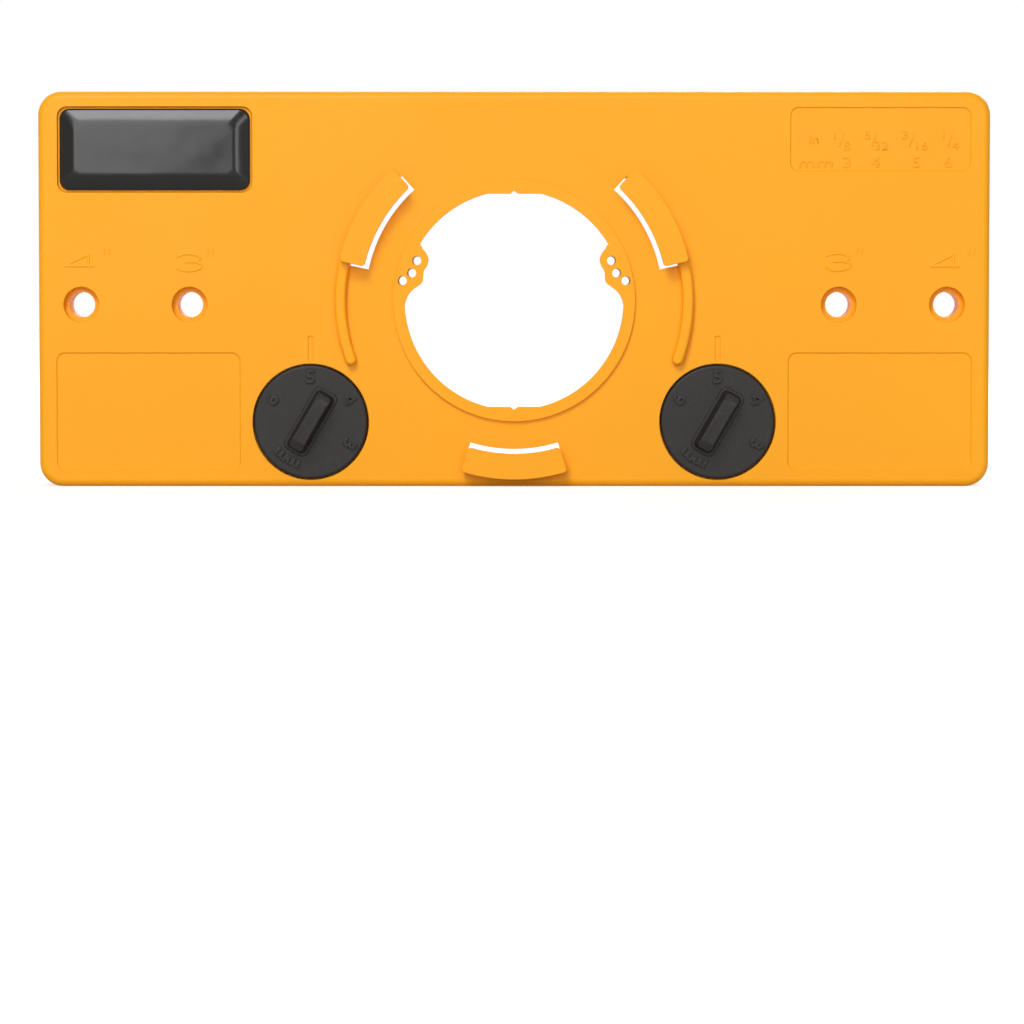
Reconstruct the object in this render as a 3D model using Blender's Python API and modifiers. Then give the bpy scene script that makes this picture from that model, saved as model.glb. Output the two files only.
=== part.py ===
"""Hinge drilling jig: a moulded plate that guides a 35 mm cup bit at a set distance from a door's edge.

The jig is drawn lying flat, with X along its length, Y away from the door's edge, Z out of its front face and
the origin on that face at the centre of the hinge cup. At the end it is stood up on its long edge, front
towards -Y. Sizes are in metres and angles in degrees.
"""

import math

import bmesh
import bpy
from mathutils import Matrix, Vector

# What the jig sets out on the door
CUP_RADIUS = 0.0175
CUP_TO_DIAL = 0.0285
DIAL_SPACING = 0.0956
SETTINGS = ((3, 120), (4, 60), (5, 0), (6, -60))  # millimetres of wood left, clockwise turn of its number
MILLIMETRE = 0.001

# Plate
PLATE_LENGTH = 0.2233
CUP_TO_NEAR_EDGE = 0.0437
CUP_TO_FAR_EDGE = 0.0489
CORNER_RADIUS = 0.0055
EDGE_FILLET = 0.0012
FACE_THICKNESS = 0.0025
RIM_WALL = 0.0023
RIM_DEPTH = 0.012  # front face to the plane that lies on the door

# Hollow fence boxes, which reach past the door's edge
FENCE_DEPTH = 0.020
FENCE_LINE = 0.0237  # cup centre to the face that the door's edge meets
FENCE_WALL = 0.0017
FENCE_NEAR_WALL = 0.0021
FENCE_CORNER = 0.0009
CORNER_BOX_START = 0.0779
CORNER_BOX_WALL = 0.0022
MIDDLE_BOX_START = 0.0156
MIDDLE_BOX_LENGTH = 0.0132
MIDDLE_BOX_WALL = 0.0014

# Rib lattice, in cell sides from the cup's centre and rows of half a hexagon: one hexagon on each side,
# spurs from its corners, and diagonals that lean towards the plate's end (1) or the cup (-1)
RIB = 0.0018
CELL_SIDE = 0.0222
CELL_ROW = 0.0042  # height of row 1, which the hexagons' outer corners lie on
HEXAGON = ((2, 1), (2.5, 2), (3.5, 2), (4, 1), (3.5, 0), (2.5, 0))
SPURS = (((0, 1), (2, 1)), ((4, 1), (6, 1)), ((3.5, 0), (3.75, -0.5)))
KEY_APEX = (0.75, 2.5)
DIAGONALS = (
    ((0.5, 2), 1), (KEY_APEX, -1), ((2.5, 2), -1), ((2.25, 2.5), 1), ((3.5, 2), 1), ((3.75, 2.5), -1)
)

# Cup ring, its opening and the ears that guide the screw bit
OPENING_RADIUS = 0.0255
OPENING_FLAT = 0.02495
NOTCH_HALF_WIDTH = 0.0006
NOTCH_DEPTH = 0.0007
RING_RADIUS = 0.0284
RING_PROUD = 0.001
RING_FILLET = 0.0004
SCREW_HOLES = ((0.0225, 0.0095), (0.0240, 0.0064), (0.0262, 0.0047))
SCREW_HOLE_RADIUS = 0.0010
EAR_LOBES = (0.0026, 0.0031, 0.00345)

# Hooks and ridges that hold the bit carriage
HOOK_DIRECTIONS = (30, 150, 270)
HOOK_HALF_ANGLE = 17.3
HOOK_OUTER = 0.0419
HOOK_WALL = 0.0026
HOOK_REACH = 0.0060
HOOK_UNDERSIDE = 0.0030
HOOK_TOP = 0.0050
HOOK_FILLET = 0.0006
SLOT_CLEARANCE = 0.0012
SLOT_EXTRA_ANGLE = 1.0
RIDGE_SWEEP = 33.5
RIDGE_WIDTH = 0.0022
RIDGE_SET_BACK = 0.0003  # from the hooks' outer face
RIDGE_HEIGHT = 0.0025
RIDGE_FILLET = 0.0006

# Index holes for the locating pin
INDEX_DISTANCES = (0.0762, 0.1016)
INDEX_ROW = -0.0010
INDEX_RADIUS = 0.0030
INDEX_SINK_RADIUS = 0.0043
INDEX_SINK_DEPTH = 0.0026
INDEX_BOSS_RADIUS = 0.0057
INDEX_PAD_RADIUS = 0.0076
INDEX_PAD_HEIGHT = 0.0015

# Left between pieces that touch
SEAT_CLEARANCE = 0.0003

# Badge, plain recessed panels, pointer marks
BADGE_LENGTH = 0.0446
BADGE_HEIGHT = 0.0190
BADGE_CORNER = 0.0023
BADGE_PROUD = 0.0009
BADGE_DOME = 0.0008
BADGE_GAP = 0.0006
BADGE_SIDE_MARGIN = 0.0045
BADGE_TOP_MARGIN = 0.0035
RECESS_DEPTH = 0.0010
BADGE_PAD_HEIGHT = 0.0010
PANEL_DEPTH = 0.0004
PANEL_CORNER = 0.0019
PANEL_SIDE_MARGIN = 0.0041
LOW_PANEL = (0.0433, 0.0278)
LOW_PANEL_ROW = -0.0261
HIGH_PANEL = (0.0425, 0.0151)
HIGH_PANEL_ROW = 0.0377
POINTER_WIDTH = 0.0012
POINTER_LENGTH = 0.0060
POINTER_GAP = 0.0004
POINTER_DEPTH = 0.0003

# Offset cam: dial, grip, skirt with snap lugs, and the stop with a flat for each setting
DIAL_RADIUS = 0.0134
DIAL_THICKNESS = 0.0025
DIAL_PROUD = 0.0003
DIAL_FILLET = 0.0004
DIAL_CLEARANCE = 0.0004
GRIP_BASE = (0.0166, 0.0061)
GRIP_CREST = (0.0139, 0.0033)
GRIP_CORNER = 0.0014
GRIP_FILLET = 0.0006
GRIP_HEIGHT = 0.0060
GRIP_TURN = 30
GRIP_HOLLOW = (0.0112, 0.0022)
GRIP_ROOF = 0.0018
SKIRT_RADIUS = 0.01135
SKIRT_WALL = 0.0013
SKIRT_SHY_OF_RIM = 0.0002
LUG_REACH = 0.00095
LUG_HEIGHT = 0.0010
LUG_CHAMFER = 0.0004
LUGS = ((0, 12), (55, 13), (110, 12), (176, 5), (199, 13), (276, 12))  # direction, half its angle
SPOKE = 0.0009
SPOKE_HEIGHT = 0.0080
SPOKE_DIRECTIONS = (32, 85, 110, 151, 198, 238, 275, 327)
STOP_BACK_RADIUS = 0.0084
STOP_WALL = 0.00135
STOP_FLOOR = 0.0004
COLLAR_RADIUS = 0.0143
COLLAR_WAVE = 0.0005
COLLAR_WAVES = 6
COLLAR_SHY_OF_RIM = 0.0015
DIAL_PAD_RADIUS = 0.0159
DIAL_PAD_HEIGHT = 0.0017

# Tools stored in the ribs, and the cuts that hold them
CLIP_DEPTH = 0.0020
PIN_RADIUS = 0.00285
PIN_HEAD_RADIUS = 0.0038
PIN_HEAD = 0.0023
PIN_LENGTH = 0.0401
PIN_CHAMFER = 0.0003
PIN_END = -0.0880
PIN_ROW = -0.0111
PIN_BELOW_RIM = 0.0042
DRILL_RADIUS = 0.0008
DRILL_LENGTH = 0.0478
DRILL_FLUTES = 0.0222
DRILL_LEAD = 0.0091
DRILL_RELIEF = 0.97  # fluted section's radius to the shank's
FLUTE_DEPTH = 0.45  # share of the radius
DRILL_TIP = 0.0357
DRILL_ROW = -0.0110
DRILL_BELOW_RIM = 0.0031
DRILL_CLIP = 0.0054
KEY_FLATS = 0.0030
KEY_LONG = 0.0941
KEY_SHORT = 0.0222
KEY_BEND = 0.0050
KEY_END = -0.0191
KEY_ROW = 0.0302
KEY_BELOW_RIM = 0.0024
KEY_CLIP = 0.0058

# Facets
ROUND_STEPS = 48
SMALL_STEPS = 20
ARC_STEPS = 8
CORNER_STEPS = 4
FILLET_STEPS = 2
DRILL_SIDES = 12
DRILL_STEPS = 18
OVERCUT = 0.002  # how far a cutter runs past the face that it opens

MATERIALS = {
    "yellow_abs": ((1.0, 0.44, 0.038), 0.42, 0.0),
    "black_abs": ((0.022, 0.022, 0.022), 0.48, 0.0),
    "black_gloss": ((0.008, 0.008, 0.009), 0.08, 0.0),
    "turned_steel": ((0.62, 0.60, 0.57), 0.18, 1.0),
    "drill_steel": ((0.46, 0.45, 0.43), 0.28, 1.0),
    "nickel_plate": ((0.74, 0.74, 0.73), 0.30, 1.0),
}


def clear_scene():
    for item in list(bpy.data.objects):
        bpy.data.objects.remove(item)


def direction(angle):
    return Vector((math.cos(math.radians(angle)), math.sin(math.radians(angle))))


def plain_material(name):
    colour, roughness, metallic = MATERIALS[name]
    material = bpy.data.materials.new(name)
    material.use_nodes = True
    shader = material.node_tree.nodes["Principled BSDF"]
    shader.inputs["Base Color"].default_value = (*colour, 1.0)
    shader.inputs["Roughness"].default_value = roughness
    shader.inputs["Metallic"].default_value = metallic
    return material


# Outlines: lists of plan points, anticlockwise


def arc(centre, radius, start, end, steps=ARC_STEPS):
    angles = [start + (end - start) * step / steps for step in range(steps + 1)]
    return [Vector(centre) + direction(angle) * radius for angle in angles]


# Solids: each is a hidden helper until it becomes a part


def helper(name, shape):
    bmesh.ops.recalc_face_normals(shape, faces=shape.faces)
    mesh = bpy.data.meshes.new(name)
    shape.to_mesh(mesh)
    shape.free()
    item = bpy.data.objects.new(name, mesh)
    item.hide_render = True
    item.display_type = "WIRE"
    bpy.data.collections["cutters"].objects.link(item)
    return item


def grow(shape, face, move=(0, 0, 0), scale=(1, 1, 1)):
    """Extrudes a face along move, scales its far end about its middle and returns that end."""
    made = bmesh.ops.extrude_face_region(shape, geom=[face, *face.edges])["geom"]
    end = next(part for part in made if isinstance(part, bmesh.types.BMFace))
    bmesh.ops.translate(shape, vec=move, verts=end.verts)
    middle = Matrix.Translation(-end.calc_center_median())
    bmesh.ops.scale(shape, vec=scale, verts=end.verts, space=middle)
    return end


def prism(name, outline, low, high, fillet=0.0):
    """The outline extruded from height low to height high, the edges of its upper end rounded."""
    shape = bmesh.new()
    base = shape.faces.new([shape.verts.new((x, y, low)) for x, y in outline])
    end = grow(shape, base, (0, 0, high - low))
    if fillet:
        bmesh.ops.recalc_face_normals(shape, faces=shape.faces)
        rounded(shape, list(end.edges), fillet, FILLET_STEPS)
    return helper(name, shape)


def rounded(shape, edges, radius, steps):
    bmesh.ops.bevel(
        shape, geom=edges, offset=radius, segments=steps, profile=0.5, affect="EDGES", material=-1
    )


def block(name, low, high, corner=0.0, fillet=0.0, crest=(1, 1)):
    """A box between two corners, its upright edges rounded, its top narrowed and that top's edges rounded."""
    low, high = Vector(low), Vector(high)
    shape = bmesh.new()
    place = Matrix.Translation((low + high) / 2) @ Matrix.Diagonal((*(high - low), 1))
    bmesh.ops.create_cube(shape, size=1, matrix=place)
    if corner:
        upright = [edge for edge in shape.edges if abs(edge.verts[0].co.z - edge.verts[1].co.z) > 0]
        rounded(shape, upright, corner, CORNER_STEPS)
    top = max(shape.faces, key=lambda side: side.calc_center_median().z)
    about = Matrix.Translation(-top.calc_center_median())
    bmesh.ops.scale(shape, vec=(*crest, 1), verts=top.verts, space=about)
    if fillet:
        rounded(shape, list(top.edges), fillet, FILLET_STEPS)
    return helper(name, shape)


def centred_block(name, size, centre, low, high, corner=0.0, fillet=0.0, crest=(1, 1)):
    (x, y), (half_x, half_y) = centre, Vector(size) / 2
    return block(name, (x - half_x, y - half_y, low), (x + half_x, y + half_y, high), corner, fillet, crest)


def plate_block(name, inset, low, high, fillet=0.0):
    """The plate's outline, or one that lies inset from it."""
    reach = PLATE_LENGTH / 2 - inset
    near, far = -CUP_TO_NEAR_EDGE + inset, CUP_TO_FAR_EDGE - inset
    return block(name, (-reach, near, low), (reach, far, high), CORNER_RADIUS - inset, fillet)


def bar(name, start, end, width, low, high):
    """A block of the given width that runs in plan from start to end, and half its width past each."""
    run = Vector(end) - Vector(start)
    middle = (Vector(start) + Vector(end)) / 2
    shape = bmesh.new()
    place = (
        Matrix.Translation((*middle, (low + high) / 2))
        @ Matrix.Rotation(math.atan2(run.y, run.x), 4, "Z")
        @ Matrix.Diagonal((run.length + width, width, high - low, 1))
    )
    bmesh.ops.create_cube(shape, size=1, matrix=place)
    return helper(name, shape)


def cylinder(shape, radius, depth, steps, place):
    bmesh.ops.create_cone(
        shape, cap_ends=True, segments=steps, radius1=radius, radius2=radius, depth=depth, matrix=place
    )


def drum(name, radius, low, high, centre=(0, 0), steps=ROUND_STEPS, fillet=0.0):
    """An upright cylinder, the edge of its upper end rounded."""
    shape = bmesh.new()
    cylinder(shape, radius, high - low, steps, Matrix.Translation((*centre, (low + high) / 2)))
    if fillet:
        top = max(shape.faces, key=lambda side: side.calc_center_median().z)
        rounded(shape, list(top.edges), fillet, FILLET_STEPS)
    return helper(name, shape)


def lying_rod(name, start, end, radius):
    start, end = Vector(start), Vector(end)
    shape = bmesh.new()
    turn = (end - start).to_track_quat("Z", "Y").to_matrix().to_4x4()
    cylinder(shape, radius, (end - start).length, SMALL_STEPS, Matrix.Translation((start + end) / 2) @ turn)
    return helper(name, shape)


def swept(name, profile, middle, half_angle):
    """A profile of (radius, height) points turned about the Z axis through twice half_angle."""
    shape = bmesh.new()
    turn = Matrix.Rotation(math.radians(middle - half_angle), 3, "Z")
    points = [turn @ Vector((radius, 0, height)) for radius, height in profile]
    face = shape.faces.new([shape.verts.new(point) for point in points])
    bmesh.ops.spin(
        shape, geom=[face, *face.edges, *face.verts], axis=(0, 0, 1), cent=(0, 0, 0),
        angle=math.radians(2 * half_angle), steps=ARC_STEPS,
    )
    return helper(name, shape)


def baked(item):
    """Gives the object the mesh that its modifiers make."""
    bpy.context.view_layer.update()
    graph = bpy.context.evaluated_depsgraph_get()
    mesh = bpy.data.meshes.new_from_object(item.evaluated_get(graph))
    item.modifiers.clear()
    item.data = mesh
    return item


def combine(item, operation, tools):
    """Joins the tools to the object, cuts them from it, or keeps what they share, and removes them."""
    group = bpy.data.collections.new(operation.lower())
    bpy.data.collections["cutters"].children.link(group)
    for tool in tools:
        group.objects.link(tool)
    modifier = item.modifiers.new(operation.title(), "BOOLEAN")
    modifier.operation = operation
    modifier.operand_type = "COLLECTION"
    modifier.collection = group
    modifier.solver = "EXACT"
    baked(item)
    for tool in tools:
        bpy.data.objects.remove(tool)
    bpy.data.collections.remove(group)
    return item


def finish_part(item, material, smooth_below=35):
    """Moves a helper among the jig's parts, with its material and its shading."""
    bpy.data.collections["cutters"].objects.unlink(item)
    bpy.data.collections["hinge_drilling_jig"].objects.link(item)
    item.hide_render = False
    item.display_type = "TEXTURED"
    item.data.name = item.name
    item.data.materials.clear()
    item.data.materials.append(material)
    item.data.shade_smooth()
    item.data.set_sharp_from_angle(angle=math.radians(smooth_below))
    return item


# The plate's underside


def fence_spans():
    """(start, end, end wall) along +X of the boxes on one side of the cup."""
    return (
        (MIDDLE_BOX_START, MIDDLE_BOX_START + MIDDLE_BOX_LENGTH, MIDDLE_BOX_WALL),
        (CORNER_BOX_START, PLATE_LENGTH / 2, CORNER_BOX_WALL),
    )


def fence_block(name, side, start, end, near, far, low, high):
    """A block given along +X, or mirrored to -X where side is -1."""
    left, right = sorted((side * start, side * end))
    return block(name, (left, near, low), (right, far, high), FENCE_CORNER)


def rim_cuts():
    """What lowers the rim from the fences' depth to its own, everywhere but at the boxes."""
    reach = PLATE_LENGTH / 2 + OVERCUT
    bottom = -FENCE_DEPTH - OVERCUT
    edge = -CUP_TO_NEAR_EDGE - OVERCUT
    cuts = [block("rim_cut", (-reach, -FENCE_LINE, bottom), (reach, CUP_TO_FAR_EDGE + OVERCUT, -RIM_DEPTH))]
    (inner_start, inner_end, _), (outer_start, _, _) = fence_spans()
    for left, right in ((-outer_start, -inner_end), (-inner_start, inner_start), (inner_end, outer_start)):
        cuts.append(block("rim_cut", (left, edge, bottom), (right, -FENCE_LINE + OVERCUT, -RIM_DEPTH)))
    return cuts


def fence_blocks():
    """What the plate's hollow leaves standing for the boxes. They run past it at the rim and the face."""
    blocks = []
    for side in (-1, 1):
        for start, end, _ in fence_spans():
            near, far = -CUP_TO_NEAR_EDGE, -FENCE_LINE
            low, high = -FENCE_DEPTH - 2 * OVERCUT, -FACE_THICKNESS / 2
            blocks.append(fence_block("fence_box", side, start, end, near, far, low, high))
    return blocks


def fence_hollows():
    hollows = []
    for side in (-1, 1):
        for start, end, wall in fence_spans():
            near, far = -CUP_TO_NEAR_EDGE + FENCE_NEAR_WALL, -FENCE_LINE - FENCE_WALL
            low, high = -FENCE_DEPTH - OVERCUT, -FACE_THICKNESS
            hollows.append(fence_block("fence_hollow", side, start + wall, end - wall, near, far, low, high))
    return hollows


def rib(start, end):
    return bar("rib", start, end, RIB, -RIM_DEPTH, -FACE_THICKNESS / 2)


def lattice_point(side, along, row):
    """A point of the lattice: along the plate in cell sides, across it in rows of half a hexagon."""
    row_height = CELL_SIDE * math.sin(math.radians(60))
    return Vector((side * along * CELL_SIDE, CELL_ROW + (row - 1) * row_height))


def rib_lattice():
    """The hexagon and its spurs, on both sides of the cup. The wall trims a spur that runs too far."""
    ribs = []
    for side in (-1, 1):
        corners = [lattice_point(side, *corner) for corner in HEXAGON]
        ribs += [rib(corners[turn - 1], corners[turn]) for turn in range(len(corners))]
        ribs += [rib(lattice_point(side, *start), lattice_point(side, *end)) for start, end in SPURS]
        for (along, row), lean in DIAGONALS:
            start = lattice_point(side, along, row)
            lean_angle = 90 - side * lean * 30
            length = (CUP_TO_FAR_EDGE - start.y) / math.sin(math.radians(60))
            ribs.append(rib(start, start + direction(lean_angle) * length))
    return ribs


def index_places():
    return [(side * distance, INDEX_ROW) for side in (-1, 1) for distance in INDEX_DISTANCES]


def index_bosses():
    bosses = []
    inside_face = -FACE_THICKNESS / 2
    pad_end = -FACE_THICKNESS - INDEX_PAD_HEIGHT
    for place in index_places():
        bosses.append(drum("index_boss", INDEX_BOSS_RADIUS, -RIM_DEPTH, inside_face, place, SMALL_STEPS))
        bosses.append(drum("index_pad", INDEX_PAD_RADIUS, pad_end, inside_face, place, SMALL_STEPS + 8))
    return bosses


def dial_places():
    return [(side * DIAL_SPACING / 2, -CUP_TO_DIAL) for side in (-1, 1)]


def dial_bosses():
    """The pad under each dial and the wavy collar that the cam's lugs snap over."""
    bosses = []
    for place in dial_places():
        collar = []
        for step in range(ROUND_STEPS):
            angle = 360 * step / ROUND_STEPS
            radius = COLLAR_RADIUS + COLLAR_WAVE * math.cos(math.radians(angle * COLLAR_WAVES))
            collar.append(Vector(place) + direction(angle) * radius)
        bosses.append(prism("dial_collar", collar, -RIM_DEPTH + COLLAR_SHY_OF_RIM, -FACE_THICKNESS / 2))
        pad_end = -FACE_THICKNESS - DIAL_PAD_HEIGHT
        bosses.append(drum("dial_pad", DIAL_PAD_RADIUS, pad_end, -FACE_THICKNESS / 2, place))
    return bosses


def badge_place():
    x = -PLATE_LENGTH / 2 + BADGE_SIDE_MARGIN + BADGE_GAP + BADGE_LENGTH / 2
    y = CUP_TO_FAR_EDGE - BADGE_TOP_MARGIN - BADGE_GAP - BADGE_HEIGHT / 2
    return Vector((x, y))


def badge_recess_size():
    return (BADGE_LENGTH + 2 * BADGE_GAP, BADGE_HEIGHT + 2 * BADGE_GAP)


def badge_pad():
    """Keeps the wall behind the badge's recess as thick as the rest of the face."""
    low, high = -FACE_THICKNESS - BADGE_PAD_HEIGHT, -FACE_THICKNESS / 2
    return centred_block("badge_pad", badge_recess_size(), badge_place(), low, high, BADGE_CORNER)


def underside():
    """Everything behind the face, trimmed to the middle of the rim wall."""
    ring = drum("ring", RING_RADIUS, -RIM_DEPTH, -FACE_THICKNESS / 2)
    combine(ring, "UNION", [*rib_lattice(), *index_bosses(), *dial_bosses(), badge_pad()])
    within = plate_block("within", RIM_WALL / 2, -FENCE_DEPTH - OVERCUT, OVERCUT)
    return combine(ring, "INTERSECT", [within])


# The plate's front


def hook(middle):
    """A block on an arc. Its slot leaves an outer wall, and a lip that reaches in from the wall's top."""
    inner = HOOK_OUTER - HOOK_REACH
    low, rounded = -FACE_THICKNESS / 2, HOOK_FILLET
    crown = arc((HOOK_OUTER - rounded, HOOK_TOP - rounded), rounded, 0, 90, FILLET_STEPS)
    crown += arc((inner + rounded, HOOK_TOP - rounded), rounded, 90, 180, FILLET_STEPS)
    return swept("hook", [(HOOK_OUTER, low), *crown, (inner, low)], middle, HOOK_HALF_ANGLE)


def hook_slot(middle):
    """The opening through the plate and up to the hook's lip, which the mould's core made."""
    inner = HOOK_OUTER - HOOK_REACH - SLOT_CLEARANCE
    outer = HOOK_OUTER - HOOK_WALL
    profile = [
        (inner, -RIM_DEPTH - OVERCUT),
        (outer, -RIM_DEPTH - OVERCUT),
        (outer, HOOK_UNDERSIDE),
        (inner, HOOK_UNDERSIDE),
    ]
    return swept("hook_slot", profile, middle, HOOK_HALF_ANGLE + SLOT_EXTRA_ANGLE)


def ridge(side):
    """The low arc that runs on from an upper hook towards the dials, with a round end."""
    start = 90 + side * (90 - HOOK_DIRECTIONS[0] + HOOK_HALF_ANGLE - 1)
    end = start + side * RIDGE_SWEEP
    outer = HOOK_OUTER - RIDGE_SET_BACK
    tip = direction(end) * (outer - RIDGE_WIDTH / 2)
    outline = (
        arc((0, 0), outer, start, end)
        + arc(tip, RIDGE_WIDTH / 2, end, end + side * 180, 6)[1:-1]
        + arc((0, 0), outer - RIDGE_WIDTH, end, start)
    )
    return prism("ridge", outline, -FACE_THICKNESS / 2, RIDGE_HEIGHT, RIDGE_FILLET)


def front_forms():
    ring = drum("front_ring", RING_RADIUS, -FACE_THICKNESS / 2, RING_PROUD, fillet=RING_FILLET)
    return [ring, *map(hook, HOOK_DIRECTIONS), ridge(-1), ridge(1)]


def cup_opening():
    """The hole for the bit carriage: round, flat and notched at top and bottom, with an ear on each side."""
    slack = math.degrees(math.asin(OPENING_FLAT / OPENING_RADIUS))
    outline = []
    for up in (1, -1):
        outline += arc((0, 0), OPENING_RADIUS * up, -slack, slack, ROUND_STEPS // 2)
        tip = OPENING_FLAT + NOTCH_DEPTH
        for x, y in ((NOTCH_HALF_WIDTH, OPENING_FLAT), (0, tip), (-NOTCH_HALF_WIDTH, OPENING_FLAT)):
            outline.append(Vector((x, y)) * up)
    opening = prism("cup_opening", outline, -RIM_DEPTH - OVERCUT, RING_PROUD + OVERCUT)
    ears = []
    for side in (-1, 1):
        for (x, y), radius in zip(SCREW_HOLES, EAR_LOBES):
            low, high = -RIM_DEPTH - 2 * OVERCUT, RING_PROUD + 2 * OVERCUT
            ears.append(drum("ear", radius, low, high, (side * x, y), SMALL_STEPS))
    return combine(opening, "DIFFERENCE", ears)


def through(name, radius, place, steps=SMALL_STEPS):
    return drum(name, radius, -RIM_DEPTH - OVERCUT, RING_PROUD + OVERCUT, place, steps)


def holes():
    cuts = [cup_opening(), *map(hook_slot, HOOK_DIRECTIONS)]
    for side in (-1, 1):
        cuts += [through("screw_hole", SCREW_HOLE_RADIUS, (side * x, y), 12) for x, y in SCREW_HOLES]
    for place in index_places():
        cuts.append(through("index_bore", INDEX_RADIUS, place))
        cuts.append(drum("index_sink", INDEX_SINK_RADIUS, -INDEX_SINK_DEPTH, OVERCUT, place, SMALL_STEPS + 4))
    for place in dial_places():
        cuts.append(through("dial_bore", SKIRT_RADIUS + SEAT_CLEARANCE, place, ROUND_STEPS))
        pocket_floor = DIAL_PROUD - DIAL_THICKNESS - SEAT_CLEARANCE
        cuts.append(drum("dial_pocket", DIAL_RADIUS + DIAL_CLEARANCE, pocket_floor, OVERCUT, place))
    return cuts


def recesses():
    """Shallow sinks in the front face: the badge's, three plain panels and a pointer above each dial."""
    badge_cut = centred_block(
        "badge_recess", badge_recess_size(), badge_place(), -RECESS_DEPTH, OVERCUT, BADGE_CORNER
    )
    cuts = [badge_cut]
    distance = PLATE_LENGTH / 2 - PANEL_SIDE_MARGIN - LOW_PANEL[0] / 2
    panels = (
        (LOW_PANEL, (-distance, LOW_PANEL_ROW)),
        (LOW_PANEL, (distance, LOW_PANEL_ROW)),
        (HIGH_PANEL, (distance, HIGH_PANEL_ROW)),
    )
    for size, centre in panels:
        cuts.append(centred_block("panel", size, centre, -PANEL_DEPTH, OVERCUT, PANEL_CORNER))
    for x, y in dial_places():
        middle = y + DIAL_RADIUS + DIAL_CLEARANCE + POINTER_GAP + POINTER_LENGTH / 2
        size = (POINTER_WIDTH, POINTER_LENGTH)
        cuts.append(centred_block("pointer", size, (x, middle), -POINTER_DEPTH, OVERCUT, POINTER_WIDTH * 0.4))
    return cuts


# Cuts in the ribs that hold the tools


def tool_height(below_rim):
    """Height of a stored tool's centre line."""
    return -RIM_DEPTH + below_rim


def cradle(start, end, tool_width, below_rim, tool_depth):
    """A slot along a tool, open towards the door."""
    width = tool_width + 2 * SEAT_CLEARANCE
    floor = tool_height(below_rim) + tool_depth + SEAT_CLEARANCE
    return bar("cradle", start, end, width, -RIM_DEPTH - OVERCUT, floor)


def clip_step(start, end, width):
    """The wider, shallow cut on both sides of a clip."""
    return bar("clip_step", start, end, width, -RIM_DEPTH - OVERCUT, -RIM_DEPTH + CLIP_DEPTH)


def key_corner():
    """Plan point where the centre lines of the key's two arms would meet."""
    return Vector((KEY_END + KEY_LONG - KEY_FLATS / 2, KEY_ROW))


def key_half_depth():
    return KEY_FLATS / math.sqrt(3)


def tool_cuts():
    pin_start, pin_end = (PIN_END + PIN_HEAD, PIN_ROW), (PIN_END + PIN_LENGTH, PIN_ROW)
    pin_height = tool_height(PIN_BELOW_RIM)
    groove = lying_rod(
        "pin_groove", (*pin_start, pin_height), (*pin_end, pin_height), PIN_RADIUS + SEAT_CLEARANCE
    )
    cuts = [groove, cradle(pin_start, pin_end, 2 * PIN_RADIUS, PIN_BELOW_RIM, -SEAT_CLEARANCE)]

    drill_start, drill_end = (DRILL_TIP, DRILL_ROW), (DRILL_TIP + DRILL_LENGTH, DRILL_ROW)
    cuts.append(cradle(drill_start, drill_end, 2 * DRILL_RADIUS, DRILL_BELOW_RIM, DRILL_RADIUS))
    cuts.append(clip_step(drill_start, drill_end, DRILL_CLIP))

    corner = key_corner()
    bend = corner - Vector((KEY_BEND, 0))
    cuts.append(cradle((KEY_END, KEY_ROW), bend, KEY_FLATS, KEY_BELOW_RIM, key_half_depth()))
    apex = lattice_point(1, *KEY_APEX).x
    cuts.append(clip_step((apex - CELL_SIDE / 4, KEY_ROW), (apex, KEY_ROW), KEY_CLIP))
    row = lattice_point(1, *HEXAGON[2]).y
    short_start, short_end = (corner.x, row - RIB), (corner.x, row + RIB)
    cuts.append(cradle(short_start, short_end, KEY_FLATS, KEY_BELOW_RIM, key_half_depth()))
    cuts.append(clip_step(short_start, short_end, KEY_CLIP))
    return cuts


def make_plate():
    plate = plate_block("jig_plate", 0, -FENCE_DEPTH, 0, EDGE_FILLET)
    hollow = plate_block("hollow", RIM_WALL, -FENCE_DEPTH - OVERCUT, -FACE_THICKNESS)
    combine(hollow, "DIFFERENCE", fence_blocks())
    combine(plate, "DIFFERENCE", [hollow, *rim_cuts()])
    combine(plate, "UNION", [underside(), *front_forms()])
    combine(plate, "DIFFERENCE", holes() + recesses() + fence_hollows() + tool_cuts())
    return finish_part(plate, plain_material("yellow_abs"))


def make_badge():
    size = (BADGE_LENGTH, BADGE_HEIGHT)
    low, high = -RECESS_DEPTH + SEAT_CLEARANCE, BADGE_PROUD
    badge = centred_block("badge", size, (0, 0), low, high, BADGE_CORNER, BADGE_DOME)
    badge.location = (*badge_place(), 0)
    return finish_part(badge, plain_material("black_gloss"), 60)


# Offset cams, drawn about their own axis


def stop_outline(shrink=0.0):
    """The stop's flats, each as far from the axis as its setting needs, closed by a round back."""
    flats = []
    for setting, turn in SETTINGS:
        distance = CUP_TO_DIAL - CUP_RADIUS - setting * MILLIMETRE - shrink
        flats.append((distance, 90 - turn))
    outline = []
    for (first, angle), (second, next_angle) in zip(flats, flats[1:]):
        normals = Matrix((direction(angle), direction(next_angle)))
        outline.append(normals.inverted() @ Vector((first, second)))
    back = STOP_BACK_RADIUS - shrink
    start = flats[-1][1] + math.degrees(math.acos(flats[-1][0] / back))
    end = flats[0][1] + 360 - math.degrees(math.acos(flats[0][0] / back))
    return outline + arc((0, 0), back, start, end)


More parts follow.
